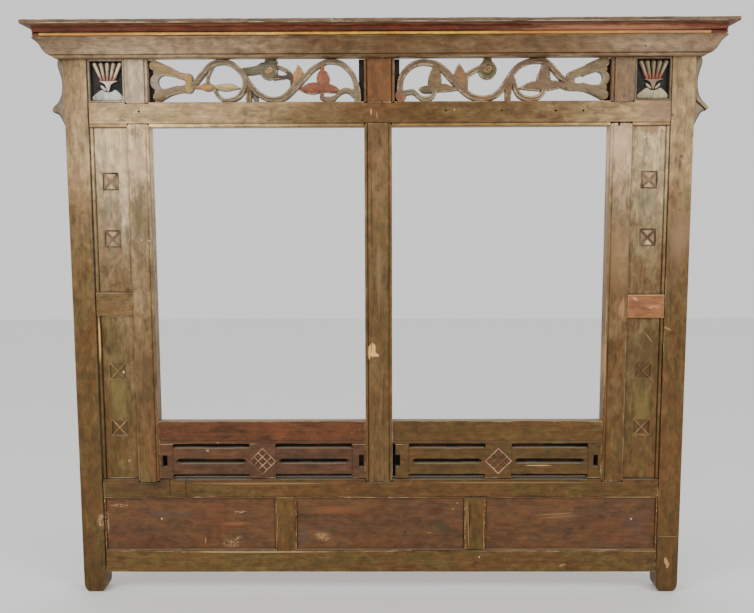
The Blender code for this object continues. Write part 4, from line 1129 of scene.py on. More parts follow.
    def _posts(self) -> None:
        """Posts with bullet-round feet, a patch let into the left one and a scar on the right."""
        dark, light = 0x342616, 0x92764C
        patch = [
            Mark(-0.7625, 0.178, 0.0008, 0.037, dark, sunk=0.0008, ragged=0.4, square=True, strength=0.6),
            Mark(-0.751, 0.142, 0.0115, 0.0008, dark, sunk=0.0008, ragged=0.4, square=True, strength=0.6),
            Mark(-0.748, 0.2, 0.012, 0.022, 0xBA926C, soft=0.6, flecked=True),
            Mark(-0.74, 0.186, 0.0016, 0.016, 0x96744E, strength=0.7),
            Mark(-0.751, 0.214, 0.012, 0.0012, light, ragged=0.6, strength=0.5),
            wash(-0.79, 0.66, 0.012, 0.1, 0x5C4224, 0.5),
            wash(-0.772, 1.1, 0.02, 0.07, 0x967454, 0.5),
            wash(-0.795, 1.22, 0.014, 0.05, 0x7A6246, 0.5)]
        scars = [
            Mark(0.769, 0.1545, 0.03, 0.0009, 0xA0865C, sunk=0.0007, turn=-1, strength=0.7),
            Mark(0.7655, 0.086, 0.005, 0.012, 0xC4865C, sunk=0.0012, ragged=0.7, turn=12),
            Mark(0.77, 0.074, 0.0032, 0.009, 0xBE8C62, sunk=0.001, ragged=0.8, turn=-20),
            Mark(0.769, 1.157, 0.005, 0.006, 0x583A26, ragged=0.6, soft=0.6, strength=0.8),
            Mark(0.767, 1.138, 0.007, 0.011, 0x604834, ragged=0.8, soft=0.7, strength=0.7),
            Mark(0.769, 1.021, 0.0022, 0.0026, 0x483222, sunk=0.001, ragged=0.4),
            Mark(0.742, 1.26, 0.0022, 0.002, 0x3E2C1E, sunk=0.001, ragged=0.4),
            wash(0.77, 0.96, 0.03, 0.1, 0x9E7A60, 0.5),
            wash(0.76, 0.845, 0.018, 0.03, 0x705A3E, 0.5),
            Mark(0.748, 0.715, 0.011, 0.0022, 0xB2925C, ragged=0.7, strength=0.7, turn=-25),
            Mark(0.76, 0.702, 0.009, 0.006, 0x4A2816, ragged=0.7, soft=0.6, strength=0.8),
            Mark(0.733, 0.756, 0.003, 0.012, 0xBE9E70, ragged=0.6, strength=0.8)]
        for side, marks in (("left", patch), ("right", scars)):
            node = f"post_{side}"
            low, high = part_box(node)
            middle, half = (low.x + high.x) / 2, (high.x - low.x) / 2
            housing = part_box("fascia_board")[0].z
            plane = (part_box("fascia_board")[1].y - low.y) + 0.0006

            def depth(x: Grid, z: Grid) -> Grid:
                """Cut back behind the fascia."""
                return np.where(z > housing - 0.0002, plane, 0.0)

            def round_foot(points: Grid) -> Grid:
                """Draw the foot in like a bullet."""
                sunk = np.clip(1 - (points[:, 2] - low.z) / self.foot_height, 0, 1)
                share = 1 - np.sqrt(1 - sunk ** 2 * 0.9999)
                points = points.copy()
                points[:, 0] = middle + (points[:, 0] - middle) * (1 - share * self.foot_side / half)
                points[:, 1] += share * 0.003 * np.where(points[:, 1] < (low.y + high.y) / 2, 1, -1)
                return points

            Board(node, Grain.UPRIGHT, OLIVE.material(marks, f"_{node}"), depth=depth, marks=marks,
                arris=0.0018,
                close_z=[(low.z + 0.0003, low.z + self.foot_height, 0.0016),
                    (housing - 0.0003, housing + 0.0003, 0.0002)], warp=round_foot).build()

    def _side_rails(self) -> None:
        """Short rails that part the side bays."""
        chip = [
            Mark(0.662, 0.793, 0.0085, 0.004, 0xD8A074, sunk=0.0012, turn=-20, strength=0.8),
            Mark(0.712, 0.772, 0.022, 0.006, 0xCE926A, soft=0.6, flecked=True),
            wash(0.69, 0.782, 0.05, 0.012, 0x84543E, 0.5)]
        Board("side_rail_left", Grain.ACROSS, OLIVE.material(suffix="_side_rail_left"), arris=0.0016).build()
        Board("side_rail_right", Grain.ACROSS, PINK_RAIL.material(chip, "_side_rail_right"), marks=chip[:1],
            arris=0.0016).build()


def laid(zones: Sequence[tuple[Grid, Colour]]) -> tuple[Grid, Grid]:
    """Shares and shades of colours laid one over another."""
    total = np.zeros_like(zones[0][0])
    shade = np.zeros((*total.shape, 3))
    for share, colour in zones:
        share = np.clip(share, 0, 1)
        weight = share / np.maximum(np.maximum(total, share), 1e-6)
        shade = shade * (1 - weight[..., None]) + np.array(rgb(colour)) * weight[..., None]
        total = np.maximum(total * (1 - share), share)
    return total, shade


@dataclass
class SidePanels:
    """Panels of the side bays: a bead frame, a sunk field and two crossed squares joined by a band."""

    bead: Bead = field(default_factory=lambda: Bead(0.008, 0.0014, 0.0022, 0.75))
    setback: float = 0.0015
    field_depth: float = 0.006
    square: tuple[float, float] = (0.039, 0.042)
    cut: float = 0.003
    bar: float = 0.0042
    band_cut: float = 0.0013
    upper: tuple[float, float] = (1.0985, 0.9515)
    lower: tuple[float, float] = (0.603, 0.452)

    def build(self) -> None:
        """Make the four panels."""
        for side in ("left", "right"):
            for level, places in (("upper", self.upper), ("lower", self.lower)):
                self._panel(side, level, places)

    def _panel(self, side: str, level: str, places: tuple[float, float]) -> None:
        """Make one panel."""
        node = f"side_panel_{level}_{side}"
        low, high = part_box(node)
        middle = (low.x + high.x) / 2
        half_x, half_z = self.square[0] / 2, self.square[1] / 2
        seed = seed_of(node)
        outer, way = (low.x, 1) if side == "left" else (high.x, -1)

        def outward(x: Grid) -> Grid:
            """Distance to the beaded edge beside the post."""
            return np.maximum((x - outer) * way, 0)

        def inward(x: Grid, z: Grid) -> Grid:
            """Distance to the plain edges."""
            return np.minimum(outward(high.x + low.x - x), np.minimum(z - low.z, high.z - z))

        def crosses(x: Grid, z: Grid, centre: float) -> tuple[Grid, Grid, Grid]:
            """How far a place is in a hand-cut square, on its cross and on its border."""
            u = (x - middle + 0.0009 * drift(z, z * 0 + centre, 0.02, seed)) / half_x
            v = (z - centre + 0.0009 * drift(x, x * 0 + centre, 0.02, seed + 2)) / half_z
            edge = np.maximum(np.abs(u), np.abs(v))
            inside = 1 - smooth(edge, 0.97, 1.03)
            diagonal = np.abs(np.abs(u) - np.abs(v)) * half_x * 0.7
            bars = 1 - smooth(diagonal, bar * 0.28, bar * 0.62)
            border = smooth(edge, 0.84, 0.92) * (1 - smooth(edge, 1.05, 1.13))
            return inside, bars, border

        def band(x: Grid, z: Grid) -> Grid:
            """Shallow band that joins the two squares."""
            wide = 1 - smooth(np.abs(x - middle), half_x - 0.0012, half_x + 0.0008)
            inner = smooth(z, places[1] + half_z + 0.003, places[1] + half_z + 0.005)
            return wide * inner * (1 - smooth(z, places[0] - half_z - 0.005, places[0] - half_z - 0.003))

        def depth(x: Grid, z: Grid) -> Grid:
            """Depth of the panel's face."""
            away = outward(x)
            sunk = np.where(away < self.bead.width + self.bead.quirk * 0.5, 0.0,
                self.field_depth - self.setback)
            sunk = sunk + self.bead.depth(away) + self.band_cut * band(x, z)
            for centre in places:
                inside, bars, _ = crosses(x, z, centre)
                sunk = sunk + self.cut * inside * (1 - bars)
            return sunk

        def darkening(x: Grid, z: Grid) -> Grid:
            """Darkening in the quirk, a painted shadow along the plain edges, and darkening round the
            squares.
            """
            # Painted shadow along the plain edges, where the rail and jamb overhang the sunk panel.
            darkness = self.bead.darkening(outward(x)) + 0.8 * np.exp(-(inward(x, z) / 0.0017) ** 2)
            for centre in places:
                _, _, border = crosses(x, z, centre)
                darkness = np.maximum(darkness, 0.3 * border)
            return np.clip(darkness, 0, 1)

        dark = 0x321C12 if level == "upper" else 0x46321C
        ground = 0x9C7A60 if level == "upper" else 0x543E22
        lit = 0xE2C29A
        bar = self.bar * (1.45 if level == "upper" else 1.0)
        worn = 0x9E7C50
        pale = 0xD6BC98 if side == "left" else 0xC4AA84

        def zone(x: Grid, z: Grid) -> tuple[Grid, Grid]:
            """Colours of the squares and the band, a painted highlight strip down one side, and painted light
            on the upper squares' top and bottom triangles.
            """
            zones = []
            patchy = 0.75 + 0.35 * drift(x, z, 0.02, seed + 4)
            if level == "upper":
                # Painted highlight: a pale strip down the side, brightest high up.
                glow = smooth(z, 0.9, 1.0) * (1
                    - smooth(z, 1.16, 1.22)) if side == "left" else smooth(z, 0.9, 1.1) * 0.5
                strip = (1 - smooth(np.abs(x - high.x + 0.012), 0.006, 0.014)) * glow
                zones.append((strip * 0.8 * patchy, pale))
                zones.append((band(x, z) * 0.35 * patchy, 0x8C7862))
                for centre in places:
                    inside, bars, border = crosses(x, z, centre)
                    tone = 0.9 if centre == places[0] else 0.7
                    facing = smooth(np.abs(z - centre) / half_z - np.abs(x - middle) / half_x, 0.0, 0.25)
                    zones.append((inside * (1 - bars) * tone, ground))
                    # Painted light: the triangles that face up and down are lit, the lower one more.
                    zones.append((inside * (1 - bars) * facing * (0.5 + 0.4 * (z < centre)) * patchy, lit))
                    zones.append((np.maximum(inside * bars, border) * tone * patchy, dark))
            else:
                zones.append((band(x, z) * 0.3 * patchy, 0x7C703E))
                for centre in places:
                    inside, bars, border = crosses(x, z, centre)
                    flat = border * smooth(np.abs(z - centre), half_z * 0.8, half_z * 0.9)
                    zones.append((inside * (1 - bars) * 0.7, ground))
                    zones.append((inside * bars * 0.75 * patchy, worn))
                    zones.append((flat * 0.8 * patchy, worn))
            return laid(zones)

        marks = []
        if node == "side_panel_upper_right":
            marks = [
                wash(0.69, 1.042, 0.026, 0.034, 0x706E58, 0.6, 0.8),
                Mark(0.69, 1.224, 0.04, 0.013, 0x96684A, ragged=0.8, soft=0.7, strength=0.6),
                Mark(0.676, 1.206, 0.0022, 0.0024, 0xECE0C8, ragged=0.3),
                Mark(0.683, 1.153, 0.0018, 0.002, 0xDED0B4, ragged=0.3),
                Mark(0.689, 1.145, 0.0016, 0.0016, 0xD6C8AC, ragged=0.3),
                Mark(0.672, 0.915, 0.016, 0.012, 0x968A58, soft=0.8, strength=0.6)]
        if node == "side_panel_upper_left":
            marks = [wash(middle - 0.012, 1.17, 0.02, 0.045, 0x7E8064, 0.5),
                wash(middle - 0.01, 1.035, 0.022, 0.035, 0x847E62, 0.4)]
        if node == "side_panel_lower_right":
            marks = [
                wash(middle + 0.004, 0.64, 0.05, 0.13, 0x543E1E, 0.6, 0.5),
                wash(middle, 0.505, 0.02, 0.05, 0x766630, 0.5),
                Mark(middle + 0.005, 0.74, 0.026, 0.0012, 0x4C361E, ragged=0.5, strength=0.7),
                Mark(middle + 0.012, 0.69, 0.0012, 0.018, 0xAA8C60, ragged=0.6, turn=38, strength=0.6)]
        if node == "side_panel_lower_left":
            marks = [
                Mark(low.x + 0.0045, 0.69, 0.0026, 0.055, 0xD6A44E, soft=0.4),
                Mark(middle, high.z - 0.0012, 0.036, 0.0012, 0xBE9C70, strength=0.8),
                Mark(middle, low.z + 0.0012, 0.036, 0.0012, 0xB09264, strength=0.8),
                wash(middle, 0.56, 0.03, 0.11, 0x70622C, 0.5),
                Mark(middle + half_x * 0.75, places[0] - 0.002, 0.0024, 0.0032, 0xE2D6C4, ragged=0.4),
                Mark(middle + 0.022, 0.362, 0.002, 0.004, 0xAA926C, ragged=0.6)]
        paint = Paint("side_panel_paint", 0x5E421A, 0xE0C496, 0x5A4C1C, BARE_TAN, glare_and_bleach=1.05, dust=0.5,
            zoned=True)
        fine = [(place - half_z * 1.16, place + half_z * 1.16, 0.0009) for place in places]
        Board(node, Grain.UPRIGHT, paint.material(marks, f"_{level}_{side}"), depth=depth, grime=darkening,
            zone=zone, arris=0.0006, hollow=0.0009,
            close_x=[self.bead.lines(outer, way), (middle - half_x * 1.16, middle + half_x * 1.16, 0.0009)],
            close_z=fine).build()


@dataclass
class BottomPanels:
    """Three long red-brown panels behind worn beads."""

    bead: Bead = field(default_factory=lambda: Bead(0.004, 0.001, 0.0016))
    field_depth: float = 0.0045

    def build(self) -> None:
        """Make the three panels."""
        bead_paint = Paint("panel_bead_paint", 0x78502A, 0x926C42, 0x54361A, 0xCEA874, glare_and_bleach=0.2, losses=1.1,
            wear=0.003, streaks=0.8)
        tan, cream, rust = 0xA07A4E, 0xC4A47A, 0x965A30
        dusk, ash, rubbed = 0x3A2618, 0x56463C, 0xB28A60
        scars = {
            "left": [
                Mark(-0.586, 0.203, 0.003, 0.003, cream, ragged=0.4),
                Mark(-0.7, 0.239, 0.026, 0.004, tan, turn=-2, strength=0.9, flecked=True),
                Mark(-0.375, 0.221, 0.018, 0.0026, cream, ragged=0.8, strength=0.8, flecked=True),
                Mark(-0.39, 0.188, 0.054, 0.007, rust, soft=0.8, strength=0.6),
                Mark(-0.47, 0.142, 0.002, 0.009, tan, ragged=0.7, strength=0.7),
                Mark(-0.381, 0.15, 0.0095, 0.004, rubbed, strength=0.8, flecked=True),
                Mark(-0.389, 0.146, 0.0035, 0.01, rubbed, strength=0.8, flecked=True),
                Mark(-0.4, 0.134, 0.03, 0.017, rubbed, ragged=0.6, soft=0.9, strength=0.8, flecked=True),
                Mark(-0.733, 0.192, 0.006, 0.052, cream, ragged=0.6, soft=0.9, flecked=True),
                wash(-0.64, 0.14, 0.07, 0.02, 0x4A2212, 0.5),
                wash(-0.56, 0.215, 0.09, 0.016, ash, 0.4)],
            "middle": [
                Mark(-0.157, 0.154, 0.027, 0.014, tan, soft=0.7, strength=0.5),
                Mark(-0.152, 0.15, 0.028, 0.01, rubbed, soft=0.6, turn=-20, strength=0.6, flecked=True),
                Mark(-0.205, 0.155, 0.014, 0.034, ash, soft=0.8, strength=0.6),
                Mark(0.163, 0.181, 0.027, 0.018, 0x423A2A, soft=0.8, strength=0.6),
                Mark(-0.102, 0.189, 0.012, 0.012, 0x463C2C, soft=0.8, strength=0.6),
                Mark(0.2056, 0.2455, 0.0018, 0.0018, cream, ragged=0.4),
                Mark(0.195, 0.229, 0.0016, 0.0016, cream, ragged=0.4),
                Mark(0.131, 0.163, 0.008, 0.0016, tan, ragged=1.6, strength=0.7),
                Mark(0.066, 0.165, 0.005, 0.005, dusk, ragged=0.6, soft=0.6, strength=0.8),
                wash(-0.13, 0.226, 0.09, 0.014, rust, 0.5)],
            "right": [
                Mark(0.468, 0.215, 0.054, 0.0012, tan, ragged=0.5, turn=4, strength=0.6),
                Mark(0.47, 0.206, 0.048, 0.001, tan, ragged=0.5, turn=4, strength=0.5),
                wash(0.48, 0.21, 0.06, 0.013, 0x88603E, 0.5),
                Mark(0.67, 0.2014, 0.0026, 0.0026, 0xE2D2B8, ragged=0.4),
                wash(0.681, 0.185, 0.045, 0.04, 0x563E38, 0.5),
                wash(0.33, 0.15, 0.07, 0.018, 0x4E2816, 0.4)]}
        for name, marks in scars.items():
            node = f"bottom_panel_{name}"
            low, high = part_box(node)

            def depth(x: Grid, z: Grid) -> Grid:
                """Depth of the panel's face, a little cupped."""
                away = inset(low, high, x, z)
                inner = away > self.bead.width + self.bead.quirk * 0.5
                cup = 0.0012 * drift(x * 0.3, z, 0.05, seed_of(node))
                return self.bead.depth(away) + np.where(inner, self.field_depth + cup, 0)

            def beads(x: Grid, z: Grid, _: Grid) -> Grid:
                """The bead frame has its own worn paint."""
                return np.where(inset(low, high, x, z) < self.bead.width + 0.0004, 1, 0)

            Board(node, Grain.ACROSS, PANEL_RED.material(marks, f"_{name}"), depth=depth,
                grime=lambda x, z: self.bead.darkening(inset(low, high, x, z)), picks=beads,
                more_paints=[bead_paint.material(suffix=f"_{name}")], arris=0.0006, hollow=0.0009,
                close_x=[self.bead.lines(low.x, 1), self.bead.lines(high.x, -1)],
                close_z=[self.bead.lines(low.z, 1), self.bead.lines(high.z, -1)]).build()


@dataclass
class FretBoards:
    """Boards under the lights with deep slots, end notches and a lattice diamond."""

    slot_depth: float = 0.021
    edge_slot: float = 0.0115
    middle_slot: float = 0.013
    block: float = 0.07
    end_margin: float = 0.0365
    middle_margin: float = 0.017
    joint_margin: float = 0.0355
    point: float = 0.009
    notch: tuple[float, float] = (0.0125, 0.032)
    notch_margins: tuple[tuple[float, float], ...] = ((0.008, 0.005), (0.0, 0.009))
    shrunk: float = 0.008
    diamond: float = 0.069
    diamond_cut: float = 0.002
    cells: int = 3
    bar: float = 0.0024

    def build(self) -> None:
        """Make the two boards."""
        for side in ("left", "right"):
            self._board(side)

    def _board(self, side: str) -> None:
        """Make one board."""
        node = f"fret_panel_{side}"
        low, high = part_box(node)
        left = low.x + (self.shrunk if side == "right" else 0)
        middle, centre = (left + high.x) / 2, (low.z + high.z) / 2
        half, seed = (high.x - left) / 2, seed_of(node)
        pitch = self.diamond / 2 / self.cells
        margins = self.notch_margins[side == "right"]
        near, far = self.block / 2 + self.middle_margin / 2, half - self.end_margin - self.middle_margin / 2

        def slots(x: Grid, z: Grid) -> Grid:
            """1 in the slots and notches."""
            u, v = np.abs(x - middle), np.abs(z - centre)
            sway = 0.0006 * drift(x, z * 0 + np.sign(z - centre), 0.05, seed)
            edge = (v > (high.z - low.z) / 2 - self.edge_slot
                + sway) & (u > self.block / 2) & (u < half - self.end_margin)
            taper = np.clip(np.minimum(u - near, far - u) / self.point, 0, 1)
            slot = (v < self.middle_slot / 2 * np.sqrt(taper) + sway * taper) & (u > near) & (u < far)
            end = half - np.where(x < middle, *margins)
            notch = (u < end) & (u > end - self.notch[0]) & (v < self.notch[1] / 2 + sway)
            gone = x < left
            return (edge | slot | notch | gone).astype(float)

        def lattice(x: Grid, z: Grid) -> tuple[Grid, Grid, Grid]:
            """Share in the diamond, share on its bars, and which cell."""
            sway = 0.0008 * drift(x, z, 0.018, seed + 3)
            a = (x - middle + sway + (z - centre)) / (2 * pitch)
            b = (x - middle - (z - centre) - sway) / (2 * pitch)
            reach = self.cells / 2
            inside = 1 - smooth(np.maximum(np.abs(a), np.abs(b)), reach + 0.02, reach + 0.1)
            off = np.minimum(np.abs((a + reach) - np.round(a + reach)),
                np.abs((b + reach) - np.round(b + reach)))
            bars = 1 - smooth(off * 2 * pitch * 0.707, self.bar * 0.35, self.bar * 0.75)
            cell = np.floor(a + reach) + np.floor(b + reach)
            return inside, bars, cell

        def depth(x: Grid, z: Grid) -> Grid:
            """Depth of the board's face."""
            inside, bars, _ = lattice(x, z)
            open_joint = np.exp(-((np.abs(x - middle) - half + self.joint_margin) / 0.0006) ** 2)
            block = np.exp(-((np.abs(x - middle) - self.block / 2 - 0.0006) / 0.0006) ** 2)
            chamfer = 0.0006 * blurred(slots(x, z), 1)
            cut = self.diamond_cut * inside * (1 - bars) + 0.0009 * open_joint + 0.0006 * block + chamfer
            return np.where(slots(x, z) > 0, self.slot_depth, cut)

        def darkening(x: Grid, z: Grid) -> Grid:
            """Dirt in the joints and the lattice."""
            inside, bars, _ = lattice(x, z)
            open_joint = np.exp(-((np.abs(x - middle) - half + self.joint_margin) / 0.0009) ** 2)
            block = np.exp(-((x - middle - self.block / 2 - 0.0006) / 0.0009) ** 2)
            return np.clip(0.45 * open_joint + 0.5 * block + 0.15 * inside * (1 - bars), 0, 1)

        light = 0xBA9268 if side == "left" else 0xC49E7A

        def zone(x: Grid, z: Grid) -> tuple[Grid, Grid]:
            """Worn lattice and its cells."""
            inside, bars, cell = lattice(x, z)
            patchy = np.clip(0.9 + 0.5 * drift(x, z, 0.012, seed + 5), 0, 1)
            a, b = x - middle + z - centre, x - middle - z + centre
            rim = inside * smooth(np.maximum(np.abs(a), np.abs(b)), self.diamond / 2 - 0.005,
                self.diamond / 2 - 0.003)
            if side == "left":
                gone = smooth(-(x - middle) - (z - centre), 0.02, 0.032)
                return laid([(inside * bars * patchy * (1 - 0.8 * gone), light)])
            knots = inside * (1 - bars) * (np.abs(cell) % 2 < 0.5)
            return laid([(inside * bars * 0.4 * patchy, 0x96744C), (knots * 0.8, 0x6E3C2A),
                (rim * bars * patchy, light)])

        def black(x: Grid, z: Grid, sunk: Grid) -> Grid:
            """Slot floors, painted near black as shade."""
            return np.where(sunk > self.slot_depth * 0.8, 1, 0)

        close_x = [(middle - self.diamond / 2 - 0.002, middle + self.diamond / 2 + 0.002, 0.0007)]
        for sign, margin in zip((-1, 1), margins):
            ends = (half - self.end_margin, half - margin, half - margin - self.notch[0])
            close_x += [(middle + sign * end - 0.0002, middle + sign * end + 0.0002, 0.0002) for end in ends]
            for start, stop in ((near - 0.0002, near + self.point), (far - self.point, far + 0.0002)):
                close_x.append((*sorted((middle + sign * start, middle + sign * stop)), 0.0009))
            joint = middle + sign * (half - self.joint_margin)
            close_x.append((joint - 0.0012, joint + 0.0012, 0.0004))
        marks = [wash(middle + sign * 0.16, centre + 0.016 * sign, 0.09, 0.01, 0x422E1C, 0.45)
            for sign in (-1, 1)]
        if side == "left":
            marks.append(Mark(-0.458, 0.3905, 0.0042, 0.0022, 0xBEA484, ragged=0.5))
            shades = (0x5C3C26, 0x70523C, 0x4A301C)
        else:
            marks.append(Mark(0.42, 0.349, 0.036, 0.0012, 0xC4A06C))
            shades = (0x5C421C, 0x765C32, 0x503E1A)
        paint = Paint(f"fret_paint_{side}", *shades, BARE_TAN, glare_and_bleach=0.2, losses=0.45, dust=1.0, zoned=True)
        Board(node, Grain.ACROSS, paint.material(marks), depth=depth, grime=darkening, zone=zone, picks=black,
            more_paints=[SHADE_BLACK_GROUND.material(suffix=f"_{node}")], arris=0.0008, hollow=0.0006,
            close_x=close_x, close_z=[(low.z + 0.0009, high.z - 0.0009, 0.0009)]).build()


@dataclass
class FriezeStiles:
    """Short stiles between the friezes, their feet lapping the rail below."""

    lap: float = 0.004
    bead: Bead = field(default_factory=lambda: Bead(0.007, 0.0016, 0.002))

    def build(self) -> None:
        """Make the two stiles and the mullion."""
        side_paint = Paint("frieze_stile_paint", 0x6C5236, 0xC4AE90, 0x6C583C, BARE_TAN, glare_and_bleach=1.0, dust=0.3)
        right_paint = Paint("frieze_stile_right_paint", 0x6C5236, 0xA08668, 0x68543A, BARE_TAN, glare_and_bleach=0.7,
            dust=0.3)
        middle_paint = Paint("frieze_mullion_paint", 0x704C2A, 0x8C6842, 0x825226, 0xBEA07C, glare_and_bleach=0.2,
            losses=0.6, wear=0.003, dust=0.3)
        for node, paint in (("frieze_stile_left", side_paint), ("frieze_stile_right", right_paint),
                ("frieze_mullion", middle_paint)):
            low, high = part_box(node)

            def gap(x: Grid, z: Grid) -> Grid:
                """Distance to a beaded side."""
                sides = {"frieze_stile_left": high.x - x, "frieze_stile_right": x - low.x}
                return np.maximum(sides.get(node, np.minimum(x - low.x, high.x - x)), 0)

            spots = [Mark(low.x + 0.022, high.z - 0.008, 0.0018, 0.0016, 0x5A442E, ragged=0.4),
                Mark((low.x + high.x) / 2 - 0.004, (low.z + high.z) / 2 - 0.02, 0.0012, 0.0012, 0x644E34,
                    ragged=0.4)]
            if node == "frieze_stile_right":
                spots.append(Mark(0.618, 1.308, 0.003, 0.004, 0x5C442C, ragged=0.7))
            lift = [Mark((low.x + high.x) / 2, low.z, 0.02, 0.014, 0xBEA07A, ragged=0.8, soft=0.8,
                strength=0.5)] if node == "frieze_stile_left" else []
            Board(node, Grain.UPRIGHT, paint.material(spots + lift, f"_{node}"),
                depth=lambda x, z: self.bead.depth(gap(x, z)) + 0.0012 * (gap(x, z) < self.bead.width),
                grime=lambda x, z: self.bead.darkening(gap(x, z)) * 0.8,
                close_x=[self.bead.lines(low.x, 1), self.bead.lines(high.x, -1)], grow=(0, 0, self.lap, 0),
                corner=0.0045, arris=0.0014).build()


@dataclass
class Ears:
    """Scalloped brackets on the posts' outer faces, each with a hooked lower tip."""

    curve: tuple[tuple[float, float], ...] = ((0.08, 0.0), (0.3, 0.1), (0.56, 0.19), (0.9, 0.225),
        (1.0, 0.27), (0.88, 0.315), (0.58, 0.38), (0.36, 0.47), (0.25, 0.6), (0.27, 0.72), (0.42, 0.84),
        (0.53, 0.93), (0.5, 1.0))

    def build(self) -> None:
        """Make both brackets."""
        deep, pale, tint = 0x705E44, 0x8E7C62, 0x62583E
        rim = Paint("ear_rim_paint", 0x604E38, 0x80705A, 0x54442E, BARE_TAN)
        for side, sign in (("left", -1), ("right", 1)):
            node = f"ear_{side}"
            low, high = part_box(node)
            inner = high.x if sign < 0 else low.x
            reach, rise = high.x - low.x, high.z - low.z
            curve = smooth_path([(out, up, 0.0) for out, up in self.curve], 14)
            line_x = inner + sign * reach * curve[:, 0] / curve[:, 0].max()
            line_z = low.z + rise * curve[:, 1]

            def edge(x: Grid, z: Grid) -> Grid:
                """Signed distance to the scalloped edge."""
                away = np.full(x.shape, 9.0)
                ax, az, bx, bz = line_x[:-1], line_z[:-1], line_x[1:], line_z[1:]
                for p, q, r, s in zip(ax, az, bx, bz):
                    dx, dz = r - p, s - q
                    t = np.clip(((x - p) * dx + (z - q) * dz) / (dx * dx + dz * dz + 1e-12), 0, 1)
                    away = np.minimum(away, np.hypot(x - p - t * dx, z - q - t * dz))
                inside = (x - inner) * sign < (np.interp(z, line_z, line_x) - inner) * sign
                return np.where(inside, -away, away)

            def face(x: Grid, z: Grid) -> tuple[Grid, Grid]:
                """Bevelled rim round a flat front, with a raised rib along the lower hook, coloured with
                painted shade on the bevel, outline and groove and a painted highlight on the rib.
                """
                away = -edge(x, z)
                up, out = (z - low.z) / rise, (x - inner) * sign / reach
                bevel = 0.0055 * (1 - smooth(away, 0.0, 0.007))
                along = np.clip((out - 0.12) / 0.8, 0, 1)
                off = (up - 0.4 + 0.145 * along) * rise
                on = smooth(out, 0.08, 0.14) * (side == "right")
                rib, groove = np.exp(-(off / 0.0042) ** 2) * on, np.exp(-((off + 0.0075) / 0.002) ** 2) * on
                depth = 0.0032 + bevel * (1 - 0.8 * rib) - 0.0028 * rib + 0.003 * groove
                # Painted light: darker bevel, left ear's outer part, groove and outline as shade, paler rib
                # as highlight.
                tones = [(np.ones_like(x), 0x8C7A62), (1 - smooth(away, 0.005, 0.01), 0x706852),
                    (rib, 0x968A72), (groove, 0x3A2A1E),
                    (smooth(out, 0.6, 0.75) * (side == "left"), 0x5C5444),
                    (1 - smooth(away, 0.0008, 0.003), 0x463A2A)]
                return depth, laid(tones)[1]

            paint = Paint(f"ear_paint_{side}", deep, pale, tint, BARE_TAN, glare_and_bleach=1.2, zoned=True)
            Cutout(node, Grain.UPRIGHT, paint.material(), rim.material(suffix=f"_{side}"), edge, face,
                cell=0.0012).build()


VINE_LEFT, VINE_RIGHT = 0x88755A, 0x7A6146
# The sunk web's grey is painted shade.
VINE_WARM, WEB_SHADE = 0x7E6240, 0x76746C
LOBE_TAN, LOBE_PINK = 0x9C8058, 0xA08A7A
LOBE_BROWN, COLLAR_GOLD = 0x826C4E, 0xA68652
GOLD_LEAF, GOLD_HEART = 0xBC8C54, 0xC4945A
TERRACOTTA, TERRACOTTA_DULL = 0x92563C, 0x84503A
BUD_GREEN, OLIVE_PETAL = 0x706A52, 0x765E3E
# The tongues' near-black is painted shade.
TONGUE_SHADE, CURL_BROWN = 0x221B16, 0x5C4A3A

